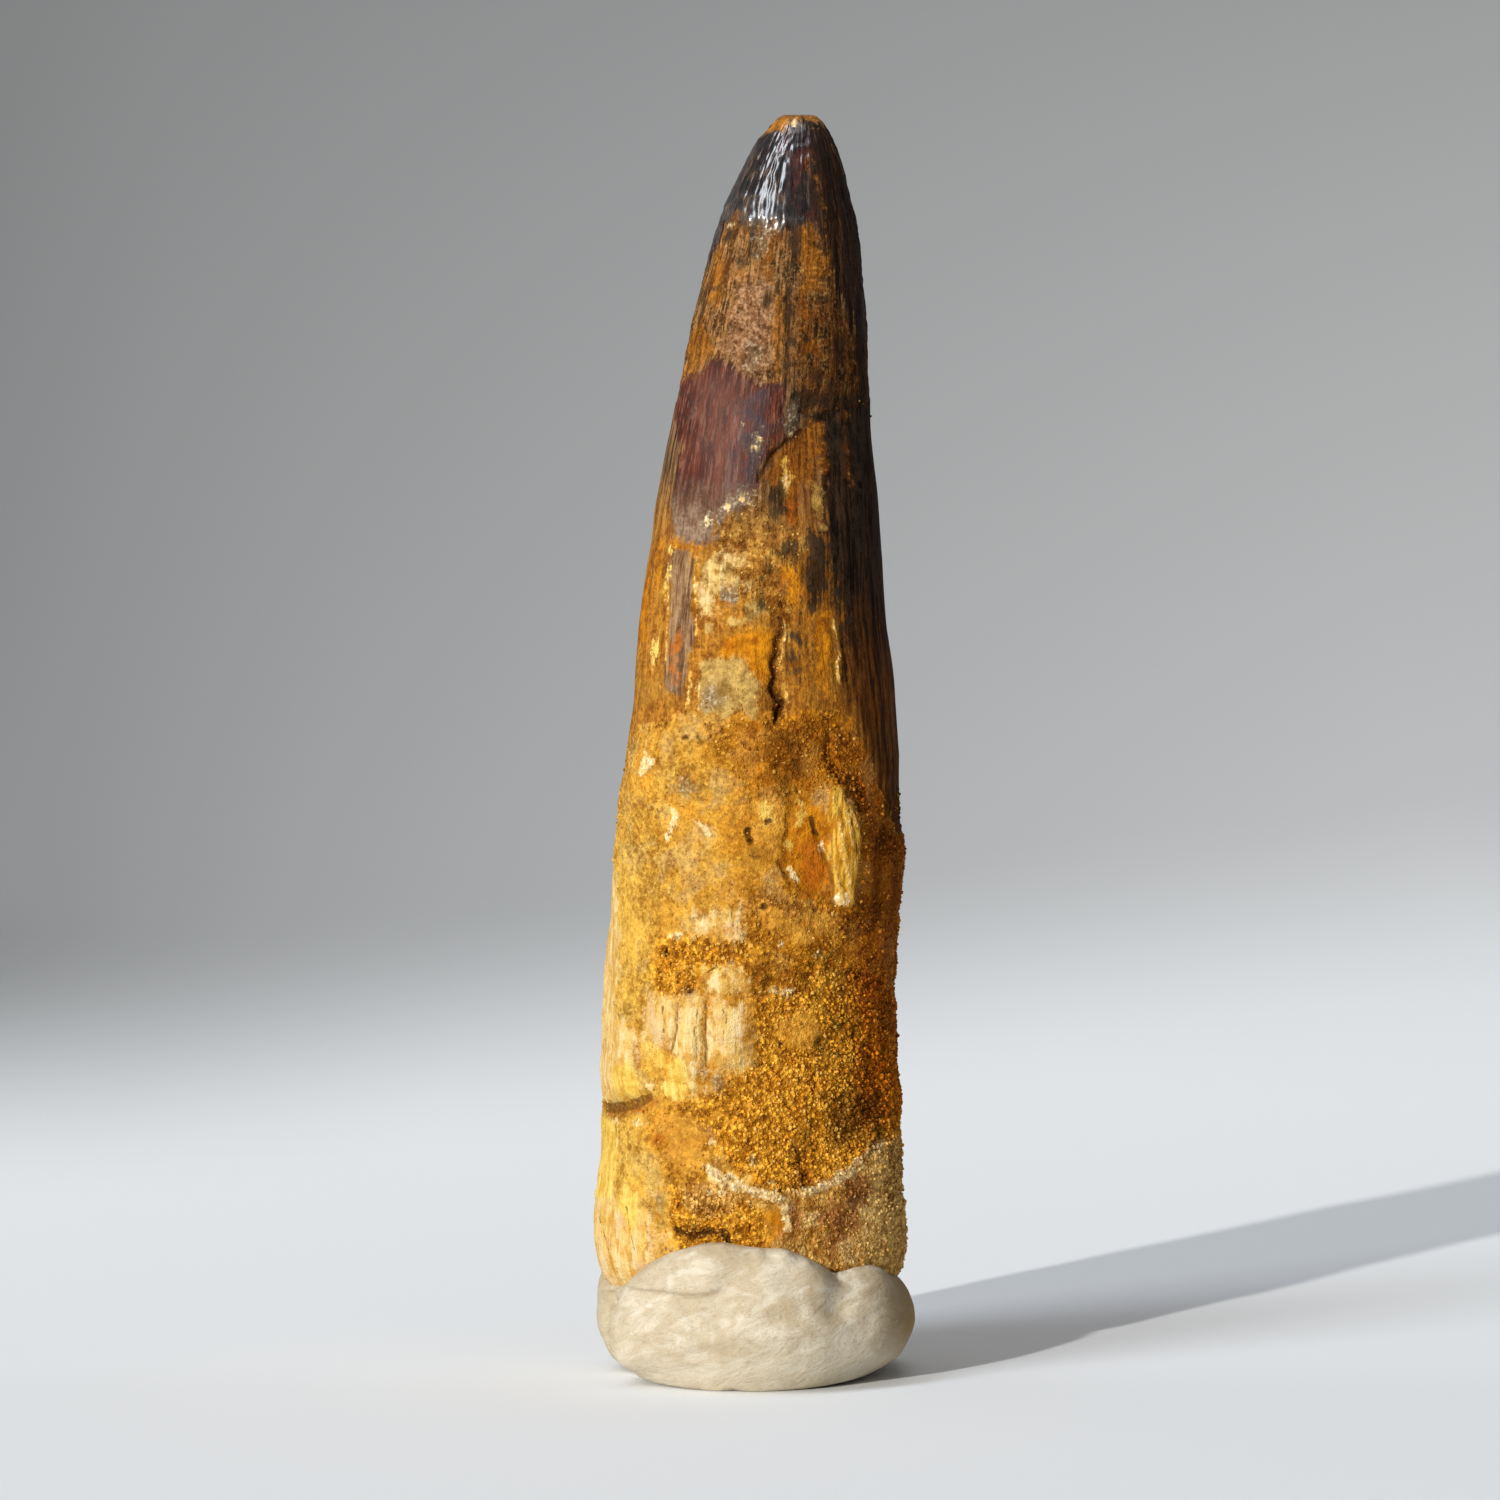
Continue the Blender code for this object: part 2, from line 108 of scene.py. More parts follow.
# Areas on the front: finish, how far it stands proud in millimetres, outline in pixels of the photograph.
FRONT_AREAS = [
    # crown
    ("black_enamel", 0.03, [
        (690, 100), (745, 70), (850, 70), (900, 200), (905, 330), (862, 345), (850, 318), (842, 296),
        (834, 268), (830, 252), (821, 248), (815, 237), (811, 226), (801, 226), (790, 228), (782, 231),
        (770, 228), (752, 225), (736, 223), (726, 225), (700, 223)]),
    ("worn_enamel", -0.12, [
        (690, 215), (840, 215), (842, 290), (849, 328), (857, 360), (860, 398), (800, 412), (784, 380),
        (777, 384), (762, 384), (750, 376), (737, 368), (726, 361), (714, 359), (703, 364), (685, 378),
        (668, 380), (680, 300)]),
    ("pink_wear", -0.06, [
        (735, 285), (752, 275), (765, 290), (776, 318), (774, 350), (774, 372), (760, 380), (745, 374),
        (728, 358), (722, 340), (727, 310)]),
    ("amber", 0.0, [(776, 292), (784, 300), (785, 340), (784, 378), (776, 378), (772, 340)]),
    ("amber", 0.0, [(684, 328), (706, 318), (713, 345), (704, 371), (680, 380)]),
    ("amber", 0.0, [(799, 226), (811, 227), (820, 248), (830, 256), (828, 274), (814, 288), (801, 262)]),
    ("amber", 0.0, [(712, 252), (721, 250), (724, 268), (719, 285), (722, 304), (712, 306), (706, 298)]),
    ("charcoal", 0.0, [
        (787, 392), (800, 388), (832, 395), (868, 391), (869, 401), (836, 405), (808, 409), (799, 424),
        (788, 427), (785, 410)]),
    ("oxblood", 0.05, [
        (660, 380), (685, 376), (703, 364), (714, 359), (726, 361), (737, 368), (750, 375), (762, 383),
        (777, 383), (786, 380), (790, 400), (787, 428), (794, 434), (783, 445), (772, 453), (762, 474),
        (758, 490), (743, 508), (737, 512), (718, 513), (714, 521), (714, 545), (697, 546), (674, 538),
        (673, 500), (682, 450), (676, 428), (660, 418)]),
    ("amber", -0.16, [
        (808, 423), (821, 427), (824, 440), (822, 470), (810, 480), (800, 500), (803, 532), (796, 521),
        (786, 512), (780, 490), (771, 487), (764, 480), (768, 471), (775, 452), (794, 439)]),
    # a painted highlight: paler pink-grey colour where the oxblood enamel has its soft highlight
    ("painted_sheen", 0.0, [(702, 372), (738, 378), (748, 400), (746, 470), (730, 500), (708, 480), (698, 430)]),
    ("slate", 0.0, [(750, 398), (764, 394), (769, 440), (762, 470), (750, 494), (741, 500), (747, 450)]),
    ("dark_bone", 0.0, [
        (812, 412), (828, 398), (826, 334), (905, 330), (930, 560), (930, 834), (896, 832), (884, 800),
        (872, 760), (860, 725), (847, 690), (841, 640), (834, 604), (828, 575), (826, 545), (822, 500),
        (817, 455)]),
    ("charcoal", 0.05, [
        (806, 534), (815, 530), (825, 536), (829, 560), (826, 585), (820, 604), (812, 612), (805, 600),
        (805, 575), (807, 552)]),
    ("charcoal", 0.03, [(835, 577), (846, 582), (850, 620), (841, 626), (837, 602)]),
    ("charcoal", 0.04, [(773, 489), (781, 488), (785, 505), (784, 519), (776, 515), (772, 500)]),
    # neck
    ("grit", -0.05, [
        (716, 520), (740, 512), (758, 496), (776, 522), (796, 524), (804, 536), (803, 600), (790, 612),
        (770, 612), (757, 606), (740, 600), (736, 575), (716, 556)]),
    ("grey_bone", 0.06, [
        (670, 549), (690, 549), (694, 577), (693, 610), (695, 640), (688, 668), (682, 696), (668, 694),
        (664, 680), (667, 650), (669, 600)]),
    ("olive_bone", 0.02, [
        (700, 562), (716, 552), (732, 557), (738, 572), (730, 585), (716, 590), (712, 612), (702, 610),
        (699, 585)]),
    ("orange_bone", 0.0, [
        (722, 640), (745, 632), (770, 628), (774, 655), (771, 676), (763, 688), (752, 668), (735, 660),
        (722, 655)]),
    ("orange_bone", 0.0, [(788, 568), (802, 568), (803, 592), (797, 608), (788, 600)]),
    ("orange_bone", 0.0, [(813, 618), (829, 615), (830, 660), (826, 690), (816, 690), (814, 650)]),
    ("olive_bone", 0.09, [
        (697, 664), (712, 659), (735, 660), (752, 668), (760, 690), (757, 717), (738, 713), (720, 717),
        (697, 711)]),
    # painted shade: areas on the crust's top right, on the worn band's right part and round the amber,
    # darkened by a tint
    ("painted_shade", 0.0, [
        (742, 716), (800, 706), (856, 730), (862, 786), (830, 776), (792, 790), (756, 786), (738, 760)]),
    ("painted_shade", 0.0, [(796, 300), (842, 290), (864, 360), (864, 398), (800, 400)]),
    ("painted_shade", 0.0, [(776, 452), (806, 430), (826, 440), (826, 530), (800, 520), (770, 486)]),
    # crust over the root
    ("crust", 0.0, [
        (540, 765), (622, 742), (640, 728), (655, 724), (672, 717), (690, 713), (705, 717), (722, 721),
        (738, 716), (756, 721), (770, 714), (790, 712), (806, 707), (820, 713), (836, 709), (848, 720),
        (862, 746), (874, 778), (886, 812), (898, 836), (960, 842), (960, 1300), (540, 1300),
        (540, 900)]),
    ("grit", -0.05, [
        (705, 724), (745, 722), (790, 715), (830, 712), (856, 737), (862, 780), (845, 800), (820, 790),
        (790, 800), (760, 800), (735, 785), (712, 760)]),
    ("grit", 0.0, [
        (858, 812), (905, 790), (910, 960), (905, 1100), (752, 1100), (752, 1000), (742, 968), (735, 905),
        (758, 880), (780, 900), (830, 905), (852, 900)]),
    ("furrow", -0.30, [
        (826, 730), (832, 738), (834, 758), (846, 770), (866, 784), (872, 806), (862, 816), (852, 800),
        (840, 784), (829, 768), (824, 750)]),
    ("orange_bone", -0.14, [
        (790, 806), (806, 800), (818, 806), (822, 822), (828, 846), (828, 870), (826, 890), (812, 898),
        (802, 894), (794, 884), (784, 868), (780, 860), (784, 840)]),
    ("rust", 0.0, [(798, 844), (814, 838), (826, 852), (826, 880), (812, 894), (804, 880)]),
    ("flake", 0.24, [
        (828, 782), (839, 788), (850, 806), (858, 822), (860, 837), (858, 855), (854, 874), (853, 890),
        (849, 907), (842, 908), (832, 904), (831, 894), (834, 886), (828, 861), (826, 850), (833, 838),
        (829, 815)]),
    ("cream", 0.10, [(785, 869), (790, 868), (797, 874), (800, 879), (799, 884), (792, 884)]),
    ("cream", 0.03, [(645, 742), (647, 754), (653, 758), (649, 770), (640, 776), (640, 764), (643, 754)]),
    ("cream", 0.05, [(671, 808), (679, 810), (676, 824), (670, 840), (666, 838), (671, 824)]),
    ("cream", 0.05, [(692, 820), (700, 823), (711, 824), (711, 833), (702, 834), (697, 828)]),
    ("pale_bone", 0.05, [
        (699, 919), (713, 915), (728, 918), (738, 908), (741, 925), (742, 938), (735, 936), (722, 928),
        (717, 934), (712, 928), (700, 928)]),
    ("sand", -0.12, [
        (656, 948), (664, 938), (690, 936), (720, 942), (738, 938), (750, 946), (752, 965), (742, 968),
        (718, 962), (704, 976), (690, 996), (676, 1000), (658, 996), (654, 975)]),
    ("pale_bone", 0.12, [
        (706, 975), (716, 968), (735, 969), (746, 978), (742, 990), (725, 993), (708, 992)]),
    ("yellow_bone", 0.08, [(694, 968), (706, 962), (720, 961), (710, 970), (701, 978), (695, 976)]),
    ("pale_bone", 0.12, [
        (648, 1000), (662, 998), (678, 1004), (676, 1030), (668, 1050), (655, 1046), (646, 1030)]),
    ("pale_bone", 0.14, [
        (680, 1000), (692, 1000), (703, 994), (704, 1060), (698, 1086), (690, 1090), (680, 1060),
        (672, 1050), (678, 1020)]),
    ("pale_bone", 0.10, [
        (707, 996), (720, 992), (733, 1002), (744, 1016), (749, 1034), (740, 1046), (746, 1062),
        (733, 1070), (724, 1065), (716, 1077), (709, 1070), (706, 1040)]),
    ("yellow_bone", 0.10, [(648, 1045), (662, 1050), (674, 1056), (670, 1070), (658, 1068), (650, 1058)]),
    ("yellow_bone", 0.12, [
        (668, 1058), (686, 1058), (690, 1078), (686, 1098), (676, 1105), (666, 1100), (664, 1080)]),
    ("pale_bone", 0.05, [
        (596, 868), (611, 872), (617, 895), (619, 940), (617, 990), (610, 1020), (596, 1020)]),
    ("pale_bone", 0.06, [
        (590, 1018), (612, 1014), (628, 1022), (634, 1040), (634, 1066), (636, 1085), (632, 1098),
        (612, 1100), (590, 1100)]),
    ("yellow_bone", 0.0, [(618, 1060), (632, 1066), (641, 1085), (639, 1101), (618, 1102), (612, 1080)]),
    ("sand", -0.12, [
        (752, 1000), (770, 985), (800, 990), (825, 960), (880, 975), (900, 1010), (900, 1090),
        (884, 1145), (860, 1165), (835, 1180), (804, 1192), (777, 1197), (762, 1190), (742, 1180),
        (726, 1160), (715, 1150), (712, 1135), (700, 1120), (690, 1104), (712, 1090), (730, 1080),
        (750, 1072), (756, 1040)]),
    ("packed", 0.08, [
        (780, 1014), (796, 1010), (816, 1016), (822, 1032), (812, 1048), (790, 1050), (778, 1036)]),
    ("packed", 0.05, [
        (762, 902), (790, 912), (830, 916), (842, 934), (812, 944), (780, 936), (760, 924)]),
    ("packed", 0.05, [(752, 806), (780, 802), (786, 826), (778, 850), (760, 842), (750, 824)]),
    ("packed", 0.05, [(662, 1118), (690, 1112), (706, 1140), (700, 1172), (676, 1170), (662, 1146)]),
    # dark brown that is painted shade: the shaded hollow right of the sand
    ("umber_and_shade", -0.05, [
        (832, 1099), (850, 1091), (880, 1094), (882, 1118), (866, 1130), (846, 1144), (834, 1140),
        (828, 1120)]),
    ("furrow", -0.32, [(801, 1152), (808, 1148), (813, 1160), (814, 1182), (804, 1187), (799, 1172)]),
    ("pale_rim", 0.12, [
        (706, 1158), (716, 1160), (722, 1172), (740, 1180), (762, 1187), (777, 1192), (804, 1187),
        (820, 1183), (835, 1175), (854, 1162), (867, 1147), (884, 1138), (920, 1130), (920, 1300),
        (800, 1300), (790, 1240), (784, 1210), (774, 1203), (758, 1199), (735, 1197), (712, 1192)]),
    ("sand", -0.08, [
        (668, 1190), (700, 1192), (730, 1198), (758, 1200), (764, 1208), (766, 1250), (760, 1262),
        (680, 1262), (666, 1215)]),
    ("pale_rim", 0.05, [
        (684, 1190), (704, 1184), (724, 1194), (740, 1200), (728, 1212), (704, 1217), (688, 1208)]),
    ("red_stain", -0.06, [(844, 1178), (860, 1172), (871, 1184), (866, 1203), (852, 1208), (842, 1197)]),
    ("red_stain", -0.08, [
        (820, 1214), (834, 1205), (856, 1206), (858, 1221), (846, 1238), (836, 1250), (824, 1242),
        (828, 1226)]),
    ("red_stain", -0.04, [(786, 1200), (797, 1206), (799, 1224), (792, 1240), (786, 1228)]),
    ("yellow_bone", 0.05, [(590, 1118), (611, 1120), (620, 1140), (618, 1170), (612, 1195), (590, 1196)]),
    ("grit", 0.0, [
        (640, 1110), (690, 1104), (712, 1135), (708, 1160), (700, 1192), (668, 1190), (660, 1160)]),
    ("pale_bone", 0.07, [
        (585, 1190), (604, 1186), (622, 1196), (640, 1206), (658, 1218), (660, 1240), (664, 1272),
        (640, 1300), (585, 1300)]),
    ("yellow_bone", 0.0, [(622, 1182), (634, 1188), (640, 1214), (632, 1236), (624, 1222), (618, 1200)]),
]

# Small spots on the front: finish, how far they stand proud, and each one's place, half width and half
# height in pixels.
FRONT_SPOTS = [
    ("charcoal", 0.0, [
        (725, 239, 4, 11), (747, 255, 4, 6), (753, 238, 3, 12), (793, 251, 4, 15), (768, 300, 4, 5),
        (703, 296, 3, 16), (788, 551, 10, 11), (770, 571, 3, 5), (761, 600, 2.5, 8), (727, 595, 4, 4),
        (797, 637, 4, 5), (790, 659, 5, 11), (799, 620, 2, 3), (878, 1134, 5, 6), (779, 503, 6, 14),
        (818, 378, 6, 9), (832, 385, 5, 10), (840, 350, 6, 14), (838, 434, 10, 26), (856, 450, 9, 32),
        (860, 520, 7, 30)]),
    ("maroon", 0.0, [(801, 158, 9, 12), (794, 184, 4, 10), (811, 212, 5, 7), (786, 140, 3, 8)]),
    ("amber", 0.02, [(810, 172, 1.2, 3), (817, 181, 1.2, 4), (821, 197, 1.4, 5), (734, 218, 3, 4)]),
    ("pale_bone", 0.05, [(716, 575, 9, 14), (728, 560, 8, 6), (706, 598, 5, 10), (733, 580, 5, 6)]),
    ("olive_bone", 0.0, [(818, 500, 3, 20), (753, 612, 10, 8), (711, 628, 5, 3), (736, 622, 6, 2)]),
    ("orange_bone", -0.02, [(774, 1222, 8, 14)]),
    ("amber", 0.03, [
        (769, 250, 4, 22), (816, 381, 1.5, 10), (836, 374, 1.6, 10), (806, 300, 4, 22), (812, 345, 6, 8),
        (781, 460, 4, 16), (800, 440, 6, 10)]),
    ("orange_bone", 0.03, [(644, 610, 10, 40), (659, 560, 5, 18), (786, 575, 8, 10), (797, 586, 5, 12)]),
    ("orange_bone", -0.2, [(774, 127, 9, 5)]),
    ("cream", 0.05, [(794, 123, 2.5, 5), (787, 479, 1.6, 6), (729, 225, 5, 2)]),
    ("yellow_bone", 0.04, [
        (787, 478, 2.2, 9), (656, 645, 5, 11), (668, 575, 2, 12), (790, 845, 4, 5), (799, 816, 5, 9),
        (749, 1179, 6, 5), (763, 808, 5, 8)]),
    ("rust", 0.0, [
        (789, 510, 4, 9), (676, 655, 4, 18), (807, 892, 5, 5), (733, 957, 3, 3), (703, 980, 3, 4),
        (688, 989, 6, 5), (607, 1266, 7, 7), (660, 1140, 6, 6), (838, 418, 4, 4), (790, 1210, 4, 7),
        (812, 1247, 4, 8), (690, 1000, 4, 3)]),
    ("cream", 0.08, [
        (744, 425, 1.0, 1.2), (755, 431, 1.0, 1.4), (761, 439, 1.4, 1.8), (756, 450, 1.2, 1.6),
        (760, 457, 1.2, 1.6), (760, 467, 1.2, 1.8), (792, 436, 1.8, 2.0), (754, 490, 1.8, 1.6),
        (747, 493, 1.4, 1.2), (743, 500, 1.6, 2.2), (749, 503, 1.8, 1.6), (754, 498, 1.2, 1.6),
        (728, 507, 1.0, 2.2), (706, 518, 1.4, 2.2), (713, 520, 1.2, 1.8), (708, 524, 1.6, 1.2),
        (788, 992, 7, 5), (776, 990, 5, 2.5), (819, 953, 3, 4), (782, 944, 3, 4), (678, 936, 6, 3),
        (840, 900, 7, 6), (822, 845, 3, 4), (617, 1121, 4, 2.5), (636, 1123, 5, 3), (712, 1140, 3, 6),
        (709, 1192, 3, 3), (724, 1191, 3, 3), (754, 1159, 3, 4), (771, 1182, 2.5, 3.5),
        (751, 1205, 2.5, 3.5), (649, 1086, 6, 5), (712, 1170, 7, 6), (726, 1178, 7, 4)]),
    ("ash", 0.04, [
        (749, 497, 9, 9), (709, 520, 7, 6), (729, 506, 4, 5), (758, 446, 3, 9), (729, 593, 11, 9),
        (712, 698, 12, 13), (685, 786, 13, 10), (717, 1081, 8, 10), (762, 237, 6, 10), (752, 354, 10, 14),
        (793, 415, 6, 11), (887, 944, 5, 12), (659, 1200, 6, 12)]),
    ("crack_and_shade", -0.5, [(748, 832, 2.8, 5), (750, 842, 3.4, 5), (665, 953, 3.6, 5)]),
    ("crack_and_shade", -0.25, [
        (756, 856, 4, 1.6), (767, 821, 1.6, 1.6), (765, 906, 2.6, 3), (760, 924, 2, 3.5),
        (683, 807, 4, 1.4), (671, 1107, 2.5, 2), (781, 1046, 1.6, 3), (744, 744, 2.4, 2.2),
        (757, 749, 1.6, 2.4), (698, 737, 1.6, 1.4), (703, 743, 2.4, 1.4), (686, 738, 2.2, 1.4),
        (722, 733, 1.6, 1.6), (687, 988, 3, 3)]),
    # dark brown spots, partly the crust's own dark earth and partly painted shade in hollows and under
    # ledges
    ("umber_and_shade", -0.12, [
        (788, 742, 10, 9), (800, 768, 7, 10), (772, 752, 5, 7), (757, 852, 5, 4), (830, 963, 6, 9),
        (853, 973, 12, 4), (842, 1026, 8, 5), (821, 1045, 3, 9), (754, 1036, 2.5, 15), (884, 1028, 4, 22),
        (882, 838, 8, 11), (808, 1135, 4, 7), (795, 1148, 4, 5), (700, 1232, 8, 3), (780, 1200, 8, 3),
        (788, 782, 6, 12), (876, 890, 7, 26), (778, 765, 5, 12), (626, 1100, 22, 5)]),
]

# Lines on the front: finish, half width and height in millimetres, route in pixels of the photograph.
FRONT_LINES = [
    ("amber", 0.42, -0.08, [(780, 618), (779, 650), (774, 690), (779, 712)]),
    ("grit", 0.42, 0.05, [(783, 616), (781, 650), (777, 690), (781, 718)]),
    # cracks, darkened partly as painted shade: here the shade beside the pale thread
    ("crack_and_shade", 0.18, -0.42, [
        (780, 618), (781, 632), (777, 641), (778, 652), (773, 664), (776, 676), (772, 688), (778, 698),
        (783, 705), (778, 712), (777, 720)]),
    ("crack_and_shade", 0.10, -0.20, [(783, 700), (779, 707), (783, 716)]),
    ("thread", 0.07, 0.05, [(785, 690), (788, 702), (786, 714)]),
    ("thread", 0.09, 0.07, [(784, 612), (784, 640), (780, 662)]),
    # a painted shadow line along the amber's edge
    ("crack_and_shade", 0.14, -0.25, [(802, 428), (794, 437), (783, 445), (772, 454), (762, 475), (759, 482)]),
    ("charcoal", 0.22, -0.10, [(789, 288), (790, 340), (788, 382)]),
    ("crack_and_shade", 0.10, -0.10, [(736, 228), (730, 250), (725, 273), (723, 285)]),
    ("crack_and_shade", 0.10, -0.12, [(800, 412), (815, 410), (846, 406), (872, 404)]),
    ("amber", 0.06, 0.06, [(847, 412), (846, 434), (849, 456), (850, 468), (853, 483)]),
    ("crack_and_shade", 0.12, -0.06, [(844, 414), (843, 436), (846, 458), (848, 482)]),
    ("thread", 0.08, 0.09, [
        (833.5, 620), (836, 633), (837, 643), (840, 654), (837, 662), (838, 675), (838.6, 683)]),
    ("groove_and_shade", 0.10, -0.10, [(831, 622), (833, 640), (834, 660), (835, 682)]),
    ("crack_and_shade", 0.12, -0.04, [(862, 628), (863, 668)]),
    ("thread", 0.09, 0.02, [(669, 562), (668, 600), (666, 660)]),
    ("thread", 0.07, 0.02, [(695, 577), (697, 610), (696, 637)]),
    ("thread", 0.12, 0.06, [(691, 672), (690, 684), (688, 698), (686, 709)]),
    ("thread", 0.07, 0.04, [(699, 680), (699, 710)]),
    ("thread", 0.07, 0.04, [(741, 700), (742, 713)]),
    ("orange_bone", 0.12, 0.02, [(674, 543), (697, 549), (714, 548)]),
    ("crack_and_shade", 0.09, -0.18, [(812, 819), (814, 829), (819.5, 842)]),
    ("crack_and_shade", 0.11, -0.24, [(780, 862), (784, 872), (790, 885)]),
    ("thread", 0.08, 0.12, [(832, 790), (836, 812), (841, 838), (847, 868), (849, 895)]),
    ("thread", 0.07, 0.12, [(848, 806), (854, 820), (859, 838), (857, 858)]),
    ("thread", 0.07, 0.12, [(826, 850), (832, 862), (838, 880), (843, 900)]),
    ("thread", 0.08, 0.12, [(840, 795), (847, 816), (851, 840), (852, 862)]),
    ("thread", 0.06, 0.10, [(836, 836), (841, 856), (845, 876)]),
    # grooves between the flake's fibres, darkened as painted shade
    ("groove_and_shade", 0.10, -0.16, [(821, 846), (829, 868), (834, 886), (832, 900), (836, 908)]),
    ("groove_and_shade", 0.05, -0.10, [(826, 846), (834, 866), (842, 886)]),
    ("groove_and_shade", 0.05, -0.10, [(834, 838), (840, 862), (846, 884)]),
    ("groove_and_shade", 0.04, -0.10, [(836, 796), (843, 822), (848, 850)]),
    ("groove_and_shade", 0.04, -0.10, [(846, 806), (852, 828), (856, 856)]),
    ("groove_and_shade", 0.05, -0.06, [(700, 1000), (696, 1030), (698, 1060)]),
    ("groove_and_shade", 0.05, -0.06, [(722, 1000), (726, 1020), (724, 1040)]),
    ("groove_and_shade", 0.07, -0.08, [(664, 1006), (668, 1024), (664, 1040)]),
    ("groove_and_shade", 0.10, -0.10, [(678, 1004), (678, 1030), (672, 1050)]),
    ("groove_and_shade", 0.07, -0.08, [(600, 1216), (606, 1240), (612, 1262)]),
    ("groove_and_shade", 0.06, -0.08, [(626, 1206), (629, 1226), (636, 1250)]),
    ("groove_and_shade", 0.06, -0.08, [(733, 904), (731, 916), (733, 930)]),
    ("groove_and_shade", 0.06, -0.08, [(739, 900), (737, 920), (738, 934)]),
    ("groove_and_shade", 0.11, -0.22, [(705, 1000), (706, 1018), (704, 1036), (706, 1052), (704, 1072)]),
    ("groove_and_shade", 0.10, -0.16, [(703, 975), (710, 970), (717, 966)]),
    ("orange_bone", 0.16, -0.18, [(632, 1022), (636, 1045), (638, 1066)]),
    # painted shade under the pale lobe's ledge
    ("groove_and_shade", 0.36, -0.34, [(600, 1106), (609, 1108), (622, 1107), (636, 1103), (648, 1098)]),
    ("rust", 0.22, -0.06, [(606, 1114), (622, 1113), (640, 1108), (656, 1102)]),
    ("rust", 0.08, 0.0, [(619, 1186), (620, 1218)]),
    ("rust", 0.10, -0.05, [(636, 1212), (641, 1228)]),
    ("red_stain", 0.12, -0.08, [(645, 1227), (651, 1238), (653, 1247)]),
    ("rust", 0.10, -0.08, [(632, 1241), (632, 1263)]),
    ("yellow_bone", 0.14, 0.03, [(606, 1200), (609, 1226), (606, 1252)]),
    ("rust", 0.07, -0.05, [(613, 1208), (616, 1236), (614, 1256)]),
    ("yellow_bone", 0.12, 0.03, [(644, 1218), (646, 1240), (642, 1262)]),
    # painted shade in the undercut just above the putty
    ("crack_and_shade", 0.30, -0.42, [(677, 1230), (692, 1236), (711, 1231), (722, 1232), (729, 1241)]),
    ("cream", 0.34, 0.12, [
        (709, 1166), (722, 1180), (742, 1188), (762, 1192), (777, 1197), (784, 1207), (788, 1228)]),
    ("cream", 0.30, 0.12, [(804, 1191), (820, 1187), (835, 1180), (854, 1167), (867, 1151), (883, 1144)]),
]

